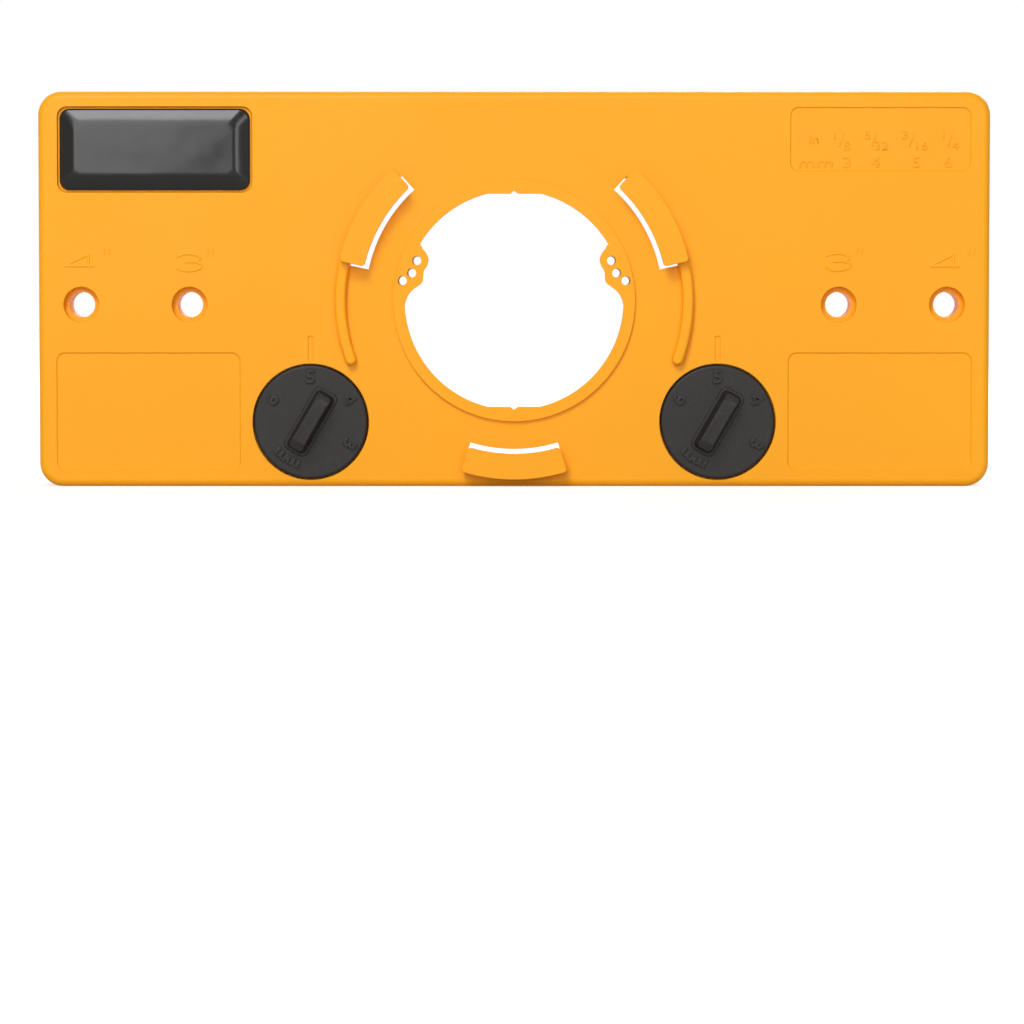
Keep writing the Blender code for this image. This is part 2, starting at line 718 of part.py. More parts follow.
def lug(middle, half_angle):
    """A snap lug under the skirt's end, chamfered so that it springs past the collar."""
    top = -RIM_DEPTH + COLLAR_SHY_OF_RIM - SEAT_CLEARANCE
    bottom = max(top - LUG_HEIGHT, -RIM_DEPTH + SKIRT_SHY_OF_RIM)
    reach = SKIRT_RADIUS + LUG_REACH
    profile = [
        (SKIRT_RADIUS - SKIRT_WALL / 2, bottom),
        (reach - LUG_CHAMFER, bottom),
        (reach, bottom + LUG_CHAMFER),
        (reach, top),
        (SKIRT_RADIUS - SKIRT_WALL / 2, top),
    ]
    return swept("lug", profile, middle, half_angle)


def make_cam_body():
    back = DIAL_PROUD - DIAL_THICKNESS
    overlap = back + DIAL_THICKNESS / 2
    skirt_end = -RIM_DEPTH + SKIRT_SHY_OF_RIM
    cam = drum("offset_cam", DIAL_RADIUS, back, DIAL_PROUD, fillet=DIAL_FILLET)
    crest = (GRIP_CREST[0] / GRIP_BASE[0], GRIP_CREST[1] / GRIP_BASE[1])
    grip = centred_block("grip", GRIP_BASE, (0, 0), overlap, GRIP_HEIGHT, GRIP_CORNER, GRIP_FILLET, crest)
    turn = Matrix.Rotation(math.radians(90 - GRIP_TURN), 4, "Z")
    grip.data.transform(turn)
    combine(cam, "UNION", [grip, drum("skirt", SKIRT_RADIUS, skirt_end, overlap)])
    combine(cam, "DIFFERENCE", [drum("well", SKIRT_RADIUS - SKIRT_WALL, skirt_end - OVERCUT, back)])
    spoke_reach, spoke_end = SKIRT_RADIUS - SKIRT_WALL, back - SPOKE_HEIGHT
    spokes = [
        bar("spoke", (0, 0), direction(angle) * spoke_reach, SPOKE, spoke_end, overlap)
        for angle in SPOKE_DIRECTIONS
    ]
    lugs = [lug(middle, half_angle) for middle, half_angle in LUGS]
    combine(cam, "UNION", [prism("stop", stop_outline(), -FENCE_DEPTH, overlap), *spokes, *lugs])
    hollow = prism("stop_hollow", stop_outline(STOP_WALL), -FENCE_DEPTH - OVERCUT, back - STOP_FLOOR)
    low, high = back - 2 * STOP_FLOOR, GRIP_HEIGHT - GRIP_ROOF
    grip_hollow = centred_block("grip_hollow", GRIP_HOLLOW, (0, 0), low, high)
    grip_hollow.data.transform(turn)
    return combine(cam, "DIFFERENCE", [hollow, grip_hollow])


def make_cams():
    """Both cams come from one mould, so they share one mesh and stand the same way round."""
    left = finish_part(make_cam_body(), plain_material("black_abs"))
    right = left.copy()
    bpy.data.collections["hinge_drilling_jig"].objects.link(right)
    for cam, name, place in zip((left, right), ("offset_cam_left", "offset_cam_right"), dial_places()):
        cam.name = name
        cam.location = (*place, 0)
    return [left, right]


# Tools


def make_index_pin():
    """A headed pin, turned about its own Z axis with its head on top, then laid along the plate."""
    chamfer = PIN_CHAMFER
    profile = (
        (0, 0),
        (PIN_HEAD_RADIUS - chamfer, 0),
        (PIN_HEAD_RADIUS, -chamfer),
        (PIN_HEAD_RADIUS, -PIN_HEAD),
        (PIN_RADIUS, -PIN_HEAD),
        (PIN_RADIUS, -PIN_LENGTH + chamfer),
        (PIN_RADIUS - chamfer, -PIN_LENGTH),
        (0, -PIN_LENGTH),
    )
    shape = bmesh.new()
    points = [shape.verts.new((radius, 0, height)) for radius, height in profile]
    for upper, lower in zip(points, points[1:]):
        shape.edges.new((upper, lower))
    pin = helper("index_pin", shape)
    screw = pin.modifiers.new("Turn", "SCREW")
    screw.steps = screw.render_steps = SMALL_STEPS
    screw.use_merge_vertices = True
    screw.merge_threshold = 0.00001
    screw.use_smooth_shade = True
    pin.rotation_euler = (0, math.radians(-90), 0)
    pin.location = (PIN_END, PIN_ROW, tool_height(PIN_BELOW_RIM))
    return finish_part(baked(pin), plain_material("turned_steel"))


def make_drill_bit():
    """A twist drill: the fluted section is turned along its lead, and a plain shank follows."""
    section = []
    for step in range(DRILL_SIDES):
        angle = 2 * math.pi * step / DRILL_SIDES
        flute = ((1 + math.cos(2 * angle)) / 2) ** 2
        radius = DRILL_RADIUS * DRILL_RELIEF * (1 - FLUTE_DEPTH * flute)
        section.append(Vector((0, math.cos(angle), math.sin(angle))) * radius)
    shape = bmesh.new()
    face = shape.faces.new([shape.verts.new(point) for point in section])
    turned = 2 * math.pi * DRILL_FLUTES / DRILL_LEAD
    bmesh.ops.spin(
        shape, geom=[face, *face.edges, *face.verts], axis=(1, 0, 0), cent=(0, 0, 0),
        dvec=(DRILL_FLUTES / DRILL_STEPS, 0, 0), angle=turned, steps=DRILL_STEPS,
    )
    point_length = DRILL_RADIUS / math.tan(math.radians(59))
    tip = min(shape.faces, key=lambda side: side.calc_center_median().x)
    grow(shape, tip, (-point_length * 0.9, 0, 0), (1, 0.1, 0.1))
    bmesh.ops.translate(shape, vec=(point_length, 0, 0), verts=shape.verts)
    drill = helper("drill_bit", shape)
    shank = lying_rod("shank", (DRILL_FLUTES - DRILL_RADIUS, 0, 0), (DRILL_LENGTH, 0, 0), DRILL_RADIUS)
    combine(drill, "UNION", [shank])
    drill.location = (DRILL_TIP, DRILL_ROW, tool_height(DRILL_BELOW_RIM))
    return finish_part(drill, plain_material("drill_steel"))


def make_hex_key():
    """An L-shaped key with a ball end: one hexagon extruded along the long arm, round the bend and down."""
    shape = bmesh.new()
    radius = key_half_depth()
    hexagon = [Vector((0, 0, radius)) @ Matrix.Rotation(math.radians(60 * side), 3, "X") for side in range(6)]
    face = shape.faces.new([shape.verts.new(point * 0.5) for point in hexagon])
    flats = KEY_FLATS
    ball = ((0.17, 1.7), (0.27, 1.18), (0.27, 1 / 1.18), (0.2, 0.85), (0.25, 1.0), (0.27, 1 / 0.85))
    reached = 0
    for share, swell in ball:
        face = grow(shape, face, (share * flats, 0, 0), (1, swell, swell))
        reached += share * flats
    straight = KEY_LONG - flats / 2 - KEY_BEND - reached
    face = grow(shape, face, (straight, 0, 0))
    start = Vector((reached + straight, -KEY_BEND, 0))
    bmesh.ops.spin(
        shape, geom=[face, *face.edges, *face.verts], axis=(0, 0, 1), cent=start,
        angle=math.radians(-90), steps=ARC_STEPS // 2,
    )
    end = min(shape.faces, key=lambda side: side.calc_center_median().y)
    grow(shape, end, (0, -(KEY_SHORT - flats / 2 - KEY_BEND), 0))
    key = helper("hex_key", shape)
    key.location = (KEY_END, KEY_ROW, tool_height(KEY_BELOW_RIM))
    return finish_part(key, plain_material("nickel_plate"))


def stand_up(parts):
    """Stands the jig on its near edge, in the middle of the frame, with its front towards -Y."""
    stance = bpy.data.objects.new("stance", None)
    bpy.data.collections["hinge_drilling_jig"].objects.link(stance)
    for part in parts:
        part.parent = stance
    stance.rotation_euler = (math.radians(90), 0, 0)
    stance.location = (0, (GRIP_HEIGHT - FENCE_DEPTH) / 2, CUP_TO_NEAR_EDGE)


def main():
    clear_scene()
    for name in ("hinge_drilling_jig", "cutters"):
        bpy.context.scene.collection.children.link(bpy.data.collections.new(name))
    tools = [make_index_pin(), make_drill_bit(), make_hex_key()]
    stand_up([make_plate(), make_badge(), *make_cams(), *tools])


main()
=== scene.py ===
"""The hinge drilling jig as it looks in its studio picture: a satin orange-yellow moulding seen from the front.

Pieces are modelled in the jig's own plan, in millimetres: X along the plate, Y away from the door's edge, Z out
of the front face, with the cup's centre on that face at the origin. They are then stood up on the near edge.
"""

import math

import bmesh
import bpy
from mathutils import Matrix, Vector
from mathutils.geometry import interpolate_bezier


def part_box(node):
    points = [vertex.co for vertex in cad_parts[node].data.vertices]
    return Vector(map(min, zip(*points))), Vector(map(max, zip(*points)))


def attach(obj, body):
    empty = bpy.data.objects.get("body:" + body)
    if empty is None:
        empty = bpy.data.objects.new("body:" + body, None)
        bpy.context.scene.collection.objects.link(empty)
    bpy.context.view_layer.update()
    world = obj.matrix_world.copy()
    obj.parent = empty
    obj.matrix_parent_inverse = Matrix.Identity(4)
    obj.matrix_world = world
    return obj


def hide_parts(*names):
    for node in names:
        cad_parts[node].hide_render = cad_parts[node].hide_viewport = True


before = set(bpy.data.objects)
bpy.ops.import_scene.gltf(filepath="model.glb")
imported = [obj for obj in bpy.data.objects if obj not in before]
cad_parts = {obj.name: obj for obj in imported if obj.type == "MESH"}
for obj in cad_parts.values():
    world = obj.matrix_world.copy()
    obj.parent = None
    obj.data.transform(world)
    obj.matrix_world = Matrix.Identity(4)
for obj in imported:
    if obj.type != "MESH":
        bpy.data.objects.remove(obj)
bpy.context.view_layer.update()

PLATE_LOW, PLATE_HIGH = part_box("jig_plate")
NEAR_EDGE = -43.7
FAR_EDGE = 48.9
HALF_LENGTH = 111.65
FRONT_FACE = -0.007  # where the front face stands, along world Y
STAND = (
    Matrix.Translation((0, FRONT_FACE, -NEAR_EDGE / 1000))
    @ Matrix.Rotation(math.radians(90), 4, "X")
    @ Matrix.Scale(0.001, 4)
)

FACE = 2.5
RIM_WALL = 2.3
RIM = -12.0
FENCE = -20.0
FENCE_LINE = -23.7
EDGE_FILLET = 1.7
CORNER = 5.5
SOFT_EDGE = 0.3
RIB = 1.8
RIB_END = -11.97  # a hair short of the rim, so that no two flat faces share a plane
CELL = 22.2
CELL_ROW = 4.2
RING = 28.4
RING_TOP = 1.0
RING_CORE = RING - 1.2  # the hole in the plate that the ring fills and overlaps
OPENING = 25.7
OPENING_FLAT = 24.95
OPENING_DRAFT = 1.013  # how much wider the opening is behind than in front
NOTCH_HALF_WIDTH, NOTCH_DEPTH = 0.9, 0.7
SCREW_HOLES = ((22.8, 9.3), (24.0, 6.4), (26.2, 4.6))
SCREW_HOLE = 1.05
EAR = (
    (23.2, 13.7), (22.3, 13.2), (21.8, 12.85), (21.6, 12.4), (21.3, 11.9), (20.7, 11.2), (20.2, 10.2),
    (20.1, 9.1), (20.45, 8.0), (21.1, 7.0), (21.3, 6.0), (21.35, 4.9), (21.7, 4.0), (22.6, 3.3),
    (23.6, 2.55), (24.55, 1.6), (25.2, 0.4), (25.6, -1.0), (26.0, -2.6),
)
EAR_BACK = 30  # how far out an ear's blank runs, into the ring's wall
HOOKS = ((30, 0.7, 0.6), (150, 0.6, 0.7), (270, -0.2, -0.2))  # direction, and how far its slot runs past each end
HOOK_HALF_ANGLE = 17.3
HOOK_OUTER = 41.9
HOOK_INNER = 35.9
HOOK_WALL = 2.6
HOOK_UNDERSIDE = 3.0
HOOK_TOP = 5.0
HOOK_FILLET = 0.8
HOOK_CORNER = 1.1
RIDGE_WIDTH = 2.6
RIDGE_TOP = 2.5
RIDGE_SWEEP = 33.5
INDEX_PLACES = tuple((side * distance, -1.0) for side in (-1, 1) for distance in (76.2, 101.6))
DIAL_PLACES = ((-47.8, -28.5), (47.8, -28.5))
DIAL = 13.4
DIAL_TOP = 0.3
DIAL_BACK = -2.2
DIAL_PLAY = 0.3  # between a cam and the hole or recess that it turns in
GRIP_TURN = 60
SKIRT = 11.35
SKIRT_WALL = 1.3
SETTINGS = ((3, 120), (4, 60), (5, 0), (6, -60))  # each setting, and how far clockwise its figure stands
PAST = 2.0  # how far a cutter runs past the face that it opens
CLEAR = 1.0  # a height clear of the front face

ROUND, MEDIUM, SMALL, ARC = 128, 64, 48, 24  # segments in large, medium and small circles and in an arc


def direction(angle):
    return Vector((math.cos(math.radians(angle)), math.sin(math.radians(angle))))


def arc(centre, radius, start, end, steps=ARC):
    angles = [start + (end - start) * step / steps for step in range(steps + 1)]
    return [Vector(centre) + direction(angle) * radius for angle in angles]


# Shapes: each is a loose object in plan millimetres until it is cut, joined or finished


def loose(shape):
    """A mesh object from a bmesh, its faces turned outwards."""
    bmesh.ops.recalc_face_normals(shape, faces=shape.faces)
    mesh = bpy.data.meshes.new("shape")
    shape.to_mesh(mesh)
    shape.free()
    item = bpy.data.objects.new("shape", mesh)
    bpy.context.scene.collection.objects.link(item)
    return item


def round_off(shape, radius, wanted, steps=3):
    """Rounds the sharp edges that wanted(edge's ends) picks."""
    edges = [
        edge for edge in shape.edges
        if len(edge.link_faces) == 2 and edge.calc_face_angle(0) > 0.5 and wanted(*(end.co for end in edge.verts))
    ]
    bmesh.ops.bevel(
        shape, geom=edges, offset=radius, segments=steps, profile=0.5, affect="EDGES", material=-1,
        clamp_overlap=True,
    )


def upright(first, second):
    """Picks edges that rise."""
    return abs(first.z - second.z) > 0.001


def at_height(*heights):
    """Picks edges that lie flat at one of these heights."""
    def wanted(first, second):
        return any(abs(first.z - height) < 0.001 and abs(second.z - height) < 0.001 for height in heights)
    return wanted


def make_whole(shape):
    """Merges doubled points, and faces that share a plane."""
    bmesh.ops.remove_doubles(shape, verts=shape.verts, dist=0.002)
    bmesh.ops.dissolve_limit(shape, angle_limit=math.radians(0.5), verts=shape.verts, edges=shape.edges)


def push_out(shape, face):
    """Extrudes a face in place, and gives the one at the far end."""
    made = bmesh.ops.extrude_face_region(shape, geom=[face, *face.edges])["geom"]
    return next(part for part in made if isinstance(part, bmesh.types.BMFace))


def block(low, high, corner=0.0, crest=(1, 1), fillet=0.0, rounded_heights=()):
    """A box, its upright edges rounded, its top narrowed by crest, and the edges at some heights rounded off."""
    low, high = Vector(low), Vector(high)
    shape = bmesh.new()
    place = Matrix.Translation((low + high) / 2) @ Matrix.Diagonal((*(high - low), 1))
    bmesh.ops.create_cube(shape, size=1, matrix=place)
    if corner:
        round_off(shape, corner, upright, 8)
    if crest != (1, 1):
        top = [vertex for vertex in shape.verts if vertex.co.z > high.z - 0.001]
        about = Matrix.Translation((-(low.x + high.x) / 2, -(low.y + high.y) / 2, 0))
        bmesh.ops.scale(shape, vec=(*crest, 1), verts=top, space=about)
    if fillet:
        round_off(shape, fillet, at_height(*rounded_heights))
    return loose(shape)


def centred_block(size, centre, low, high, **more):
    half = Vector(size) / 2
    return block((*(Vector(centre) - half), low), (*(Vector(centre) + half), high), **more)


def recess(size, centre, depth, corner, slope):
    """A cutter for a shallow recess in the front face, its walls leaning out by slope on the way up."""
    foot = Vector(size) - Vector((2 * slope, 2 * slope))
    crest = tuple((across + 4 * slope) / across for across in foot)
    return centred_block(foot, centre, -depth, depth, corner=corner, crest=crest)


def plate_block(inset, low, high, **more):
    reach = HALF_LENGTH - inset
    return block((-reach, NEAR_EDGE + inset, low), (reach, FAR_EDGE - inset, high), corner=CORNER - inset, **more)


def drum(radius, low, high, centre=(0, 0), steps=ROUND, upper=None, fillet=0.0, rounded_heights=()):
    """An upright cylinder, or a cone where its upper radius differs."""
    shape = bmesh.new()
    bmesh.ops.create_cone(
        shape, cap_ends=True, segments=steps, radius1=radius, radius2=upper or radius, depth=high - low,
        matrix=Matrix.Translation((*centre, (low + high) / 2)),
    )
    if fillet:
        round_off(shape, fillet, at_height(*rounded_heights))
    return loose(shape)


def prism(outline, low, high, fillet=0.0, rounded_heights=()):
    shape = bmesh.new()
    base = shape.faces.new([shape.verts.new((x, y, low)) for x, y in outline])
    made = bmesh.ops.extrude_face_region(shape, geom=[base])["geom"]
    bmesh.ops.translate(shape, vec=(0, 0, high - low), verts=[v for v in made if isinstance(v, bmesh.types.BMVert)])
    if fillet:
        bmesh.ops.recalc_face_normals(shape, faces=shape.faces)
        round_off(shape, fillet, at_height(*rounded_heights))
    return loose(shape)


def bar(start, end, width, low, high, fillet=0.0):
    """A straight wall in plan that runs half its width past both ends, its lower long edges rounded."""
    run = Vector(end) - Vector(start)
    shape = bmesh.new()
    place = (
        Matrix.Translation((*((Vector(start) + Vector(end)) / 2), (low + high) / 2))
        @ Matrix.Rotation(math.atan2(run.y, run.x), 4, "Z")
        @ Matrix.Diagonal((run.length + width, width, high - low, 1))
    )
    bmesh.ops.create_cube(shape, size=1, matrix=place)
    if fillet:
        along = run.normalized()

        def wanted(first, second):
            flat = at_height(low)(first, second)
            return flat and abs((second - first).normalized().xy.dot(along)) > 0.9

        round_off(shape, fillet, wanted, 2)
    return loose(shape)


def lying_rod(start, end, radius, steps=SMALL):
    start, end = Vector(start), Vector(end)
    turn = (end - start).to_track_quat("Z", "Y").to_matrix().to_4x4()
    shape = bmesh.new()
    bmesh.ops.create_cone(
        shape, cap_ends=True, segments=steps, radius1=radius, radius2=radius, depth=(end - start).length,
        matrix=Matrix.Translation((start + end) / 2) @ turn,
    )
    return loose(shape)


def swept(profile, middle, half_angle, fillet=0.0, above=0.0, corner=0.0):
    """A profile of (radius, height) points turned about Z, its upright corners and its upper edges rounded."""
    shape = bmesh.new()
    turn = Matrix.Rotation(math.radians(middle - half_angle), 3, "Z")
    face = shape.faces.new([shape.verts.new(turn @ Vector((radius, 0, height))) for radius, height in profile])
    bmesh.ops.spin(
        shape, geom=[face, *face.edges, *face.verts], axis=(0, 0, 1), cent=(0, 0, 0),
        angle=math.radians(2 * half_angle), steps=ARC,
    )
    bmesh.ops.recalc_face_normals(shape, faces=shape.faces)
    make_whole(shape)
    if corner:
        round_off(shape, corner, upright, 6)
    if fillet:
        round_off(shape, fillet, lambda first, second: min(first.z, second.z) > above - 0.001, 4)
    return loose(shape)


def evaluated(item):
    """The mesh that an object's curve or modifiers make."""
    bpy.context.view_layer.update()
    return bpy.data.meshes.new_from_object(item.evaluated_get(bpy.context.evaluated_depsgraph_get()))


def combine(item, operation, tools):
    """Joins the tools to the item, cuts them from it, or keeps what they share."""
    group = bpy.data.collections.new("tools")
    for tool in tools:
        group.objects.link(tool)
    modifier = item.modifiers.new("combine", "BOOLEAN")
    modifier.operation = operation
    modifier.operand_type = "COLLECTION"
    modifier.collection = group
    modifier.solver = "EXACT"
    mesh = evaluated(item)
    item.modifiers.clear()
    item.data = mesh
    for tool in tools:
        bpy.data.objects.remove(tool)
    bpy.data.collections.remove(group)
    return item


def soften(item, radius, wanted, steps=3):
    """Rounds edges of a shape that has been cut, after its flat faces are made whole."""
    shape = bmesh.new()
    shape.from_mesh(item.data)
    make_whole(shape)
    round_off(shape, radius, wanted, steps)
    shape.to_mesh(item.data)
    shape.free()
    return item


# Finishes


class Wire:
    """A socket of a finish's nodes that can stand in a sum."""

    def __init__(self, finish, socket):
        self.finish = finish
        self.socket = socket

    def maths(self, operation, first, second):
        return self.finish.node("ShaderNodeMath", {"operation": operation}, {0: first, 1: second})

    def __add__(self, other):
        return self.maths("ADD", self, other)

    __radd__ = __add__

    def __sub__(self, other):
        return self.maths("SUBTRACT", self, other)

    def __rsub__(self, other):
        return self.maths("SUBTRACT", other, self)

    def __mul__(self, other):
        return self.maths("MULTIPLY", self, other)

    __rmul__ = __mul__


class Finish:
    """A material built round a Principled shader."""

    def __init__(self, name, **constants):
        self.material = bpy.data.materials.new(name)
        self.material.use_nodes = True
        self.nodes = self.material.node_tree.nodes
        self.links = self.material.node_tree.links
        self.shader = self.nodes["Principled BSDF"]
        for socket, value in constants.items():
            self.shader.inputs[socket.replace("_", " ").title().replace("Ior", "IOR")].default_value = value
        self.place = self.node("ShaderNodeTexCoord", {}, {}, "Object")

    def node(self, kind, settings, values, output=0):
        made = self.nodes.new(kind)
        for name, value in settings.items():
            if name == "stops":
                ramp = made.color_ramp
                while len(ramp.elements) < len(value):
                    ramp.elements.new(1.0)
                for element, (position, shade) in zip(ramp.elements, value):
                    element.position = position
                    element.color = (shade, shade, shade, 1.0)
            else:
                setattr(made, name, value)
        for name, value in values.items():
            self.feed(made.inputs[name], value)
        return Wire(self, made.outputs[output])

    def feed(self, socket, value):
        if isinstance(value, Wire):
            self.links.new(value.socket, socket)
        else:
            socket.default_value = value

    def set(self, **inputs):
        for name, value in inputs.items():
            self.feed(self.shader.inputs[name.replace("_", " ").title()], value)

    def noise(self, scale, detail=2.0, roughness=0.5, place=None, distortion=0.0):
        values = {
            "Vector": place or self.place, "Scale": scale, "Detail": detail, "Roughness": roughness,
            "Distortion": distortion,
        }
        return self.node("ShaderNodeTexNoise", {}, values, "Fac")

    def stretched(self, scale, turn=(0, 0, 0)):
        values = {"Vector": self.place, "Scale": scale, "Rotation": turn}
        return self.node("ShaderNodeMapping", {}, values, "Vector")

    def ramp(self, value, *stops):
        return self.node("ShaderNodeValToRGB", {"stops": stops}, {"Fac": value}, "Color")

    def blend(self, amount, first, second):
        values = {0: amount, 6: (*first, 1.0), 7: (*second, 1.0)}
        return self.node("ShaderNodeMix", {"data_type": "RGBA"}, values, 2)

    def bump(self, height, distance, strength=1.0):
        values = {"Height": height, "Distance": distance, "Strength": strength}
        return self.node("ShaderNodeBump", {}, values, "Normal")


def yellow_moulding():
    """Orange-yellow ABS from a spark-eroded mould: fine grain, faint flow clouds and a few rubbed patches."""
    finish = Finish("yellow_moulding", ior=1.5, subsurface_weight=0.03, subsurface_scale=0.0008)
    finish.shader.inputs["Subsurface Radius"].default_value = (1.0, 0.4, 0.05)
    finish.shader.inputs["Specular IOR Level"].default_value = 0.22
    clouds = finish.noise(16.0, 3.0)
    flow = finish.noise(5.0, 2.0, place=finish.stretched((1.0, 1.0, 3.0)), distortion=0.6)
    grain = finish.noise(2600.0, 2.0)
    pores = finish.noise(900.0, 1.0)
    colour = finish.blend(clouds * 0.7 + flow * 0.3, (0.95, 0.385, 0.006), (1.0, 0.425, 0.009))
    rubbed = finish.ramp(finish.noise(42.0, 4.0), (0.42, 0.0), (0.72, 1.0))
    finish.set(
        base_color=colour,
        roughness=0.40 + grain * 0.10 - rubbed * 0.06,
        normal=finish.bump(grain * 0.6 + pores * 0.4, 0.00004, 0.55),
    )
    return finish.material


def black_moulding():
    """Black ABS with a slightly coarser grain and a trace of handling dust."""
    finish = Finish("black_moulding", ior=1.5)
    finish.shader.inputs["Specular IOR Level"].default_value = 0.28
    grain = finish.noise(2200.0, 3.0, 0.6)
    dust = finish.ramp(finish.noise(260.0, 5.0, 0.65), (0.52, 0.0), (0.80, 1.0))
    finish.set(
        base_color=finish.blend(dust, (0.011, 0.009, 0.008), (0.022, 0.019, 0.017)),
        roughness=0.36 + grain * 0.14 + dust * 0.08,
        normal=finish.bump(grain, 0.00004, 0.6),
    )
    return finish.material


def black_resin():
    """The badge's cast dome: deep black with a faint lens-like ripple."""
    finish = Finish("black_resin", ior=1.5)
    finish.shader.inputs["Specular IOR Level"].default_value = 0.3
    ripple = finish.noise(75.0, 1.0)
    finish.set(
        base_color=finish.blend(finish.noise(120.0, 2.0), (0.003, 0.002, 0.0015), (0.005, 0.004, 0.003)),
        roughness=0.15 + finish.noise(400.0, 2.0) * 0.04,
        normal=finish.bump(ripple, 0.001, 0.2),
    )
    return finish.material


def turned_steel():
    """The pin's polished steel, with fine turning marks around it."""
    finish = Finish("turned_steel", metallic=1.0)
    rings = finish.noise(60.0, 2.0, 0.7, finish.stretched((90.0, 1.0, 1.0)))
    smears = finish.noise(180.0, 3.0)
    finish.set(
        base_color=finish.blend(smears, (0.62, 0.60, 0.58), (0.74, 0.72, 0.70)),
        roughness=0.13 + rings * 0.12 + smears * 0.05,
        normal=finish.bump(rings, 0.00002, 0.5),
    )
    return finish.material


def drill_steel():
    """The drill bit's dark ground steel."""
    finish = Finish("drill_steel", metallic=1.0)
    ground = finish.noise(70.0, 3.0, 0.7, finish.stretched((120.0, 4.0, 4.0)))
    finish.set(
        base_color=finish.blend(finish.noise(350.0, 3.0), (0.36, 0.34, 0.32), (0.52, 0.50, 0.47)),
        roughness=0.22 + ground * 0.16,
        normal=finish.bump(ground, 0.00001, 0.5),
    )
    return finish.material


def nickel_plate():
    """The key's bright plating, drawn along its length."""
    finish = Finish("nickel_plate", metallic=1.0)
    drawn = finish.noise(60.0, 3.0, 0.6, finish.stretched((1.0, 30.0, 30.0)))
    finish.set(
        base_color=finish.blend(finish.noise(90.0, 3.0), (0.66, 0.66, 0.65), (0.78, 0.78, 0.77)),
        roughness=0.20 + drawn * 0.14,
        normal=finish.bump(drawn, 0.000015, 0.4),
    )
    return finish.material


def finish_piece(item, name, material, body, node=None, smooth_below=40, place=None):
    """Stands a piece up in the frame, shades it and says what it rides on and replaces."""
    item.name = item.data.name = name
    item.data.transform(STAND @ (place or Matrix.Identity(4)))
    item.data.materials.clear()
    item.data.materials.append(material)
    item.data.shade_smooth()
    item.data.set_sharp_from_angle(angle=math.radians(smooth_below))
    weigh = item.modifiers.new("flat faces stay flat", "WEIGHTED_NORMAL")
    weigh.keep_sharp = True
    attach(item, body)
    if node:
        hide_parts(node)
    return item


# The plate


def lattice_point(side, along, row):
    return Vector((side * along * CELL, CELL_ROW + (row - 1) * CELL * math.sin(math.radians(60))))


def rib_lattice():
    hexagon = ((2, 1), (2.5, 2), (3.5, 2), (4, 1), (3.5, 0), (2.5, 0))
    spurs = (((0, 1), (2, 1)), ((4, 1), (6, 1)), ((3.5, 0), (3.75, -0.5)))
    diagonals = (((0.5, 2), 1), ((0.75, 2.5), -1), ((2.5, 2), -1), ((2.25, 2.5), 1), ((3.5, 2), 1), ((3.75, 2.5), -1))
    runs = []
    for side in (-1, 1):
        corners = [lattice_point(side, *corner) for corner in hexagon]
        runs += [(corners[turn - 1], corners[turn]) for turn in range(6)]
        runs += [(lattice_point(side, *start), lattice_point(side, *end)) for start, end in spurs]
        for corner, lean in diagonals:
            start = lattice_point(side, *corner)
            length = (FAR_EDGE - start.y) / math.sin(math.radians(60))
            runs.append((start, start + direction(90 - side * lean * 30) * length))
    return [bar(start, end, RIB, RIB_END, -FACE / 2, SOFT_EDGE) for start, end in runs]


FENCES = ((15.6, 28.8, 1.4), (77.9, HALF_LENGTH, 2.2))  # start, end and end wall of each box along +X
FENCE_NEAR_WALL, FENCE_FAR_WALL = 2.1, 1.7


def fence_block(side, start, end, near, far, low, high):
    left, right = sorted((side * start, side * end))
    return block((left, near, low), (right, far, high), corner=0.9)


def fence_boxes():
    return [
        fence_block(side, start, end, NEAR_EDGE, FENCE_LINE, FENCE, -FACE / 2)
        for side in (-1, 1) for start, end, _ in FENCES
    ]


def fence_hollows():
    """The space in each fence box, open behind."""
    near, far = NEAR_EDGE + FENCE_NEAR_WALL, FENCE_LINE - FENCE_FAR_WALL
    return [
        fence_block(side, start + wall, end - wall, near, far, FENCE - PAST, -FACE)
        for side in (-1, 1) for start, end, wall in FENCES
    ]


def shell():
    """The face and its rim, with the hollow fence boxes, their free edges softened."""
    blank = plate_block(0, FENCE, 0)
    hollow = plate_block(RIM_WALL, FENCE - PAST, -FACE)
    reach, bottom = HALF_LENGTH + PAST, FENCE - PAST
    cuts = [hollow, block((-reach, FENCE_LINE, bottom), (reach, FAR_EDGE + PAST, RIM))]
    (inner_start, inner_end, _), (outer_start, _, _) = FENCES
    for left, right in ((-outer_start, -inner_end), (-inner_start, inner_start), (inner_end, outer_start)):
        cuts.append(block((left, NEAR_EDGE - PAST, bottom), (right, FENCE_LINE + PAST, RIM)))
    combine(blank, "DIFFERENCE", cuts)
    combine(blank, "INTERSECT", [plate_block(0, FENCE - CLEAR, CLEAR)])
    first, *others = fence_boxes()
    combine(first, "UNION", others)
    combine(first, "INTERSECT", [plate_block(0.02, FENCE - CLEAR, CLEAR)])  # a hair inside the rim's outer faces
    combine(blank, "UNION", [first])
    combine(blank, "DIFFERENCE", fence_hollows())
    soften(blank, SOFT_EDGE, at_height(RIM, FENCE), 2)
    return soften(blank, EDGE_FILLET, at_height(0), 6)


def smooth(points, steps=5):
    """A curve through the points, tangent at each to the line between its neighbours."""
    points = [Vector(point).to_3d() for point in points]
    padded = [2 * points[0] - points[1], *points, 2 * points[-1] - points[-2]]
    curve = []
    for before, start, end, after in zip(padded, padded[1:], padded[2:], padded[3:]):
        handles = start + (end - before) / 6, end - (after - start) / 6
        curve += interpolate_bezier(start, *handles, end, steps + 1)[:-1]
    return [*curve, points[-1]]


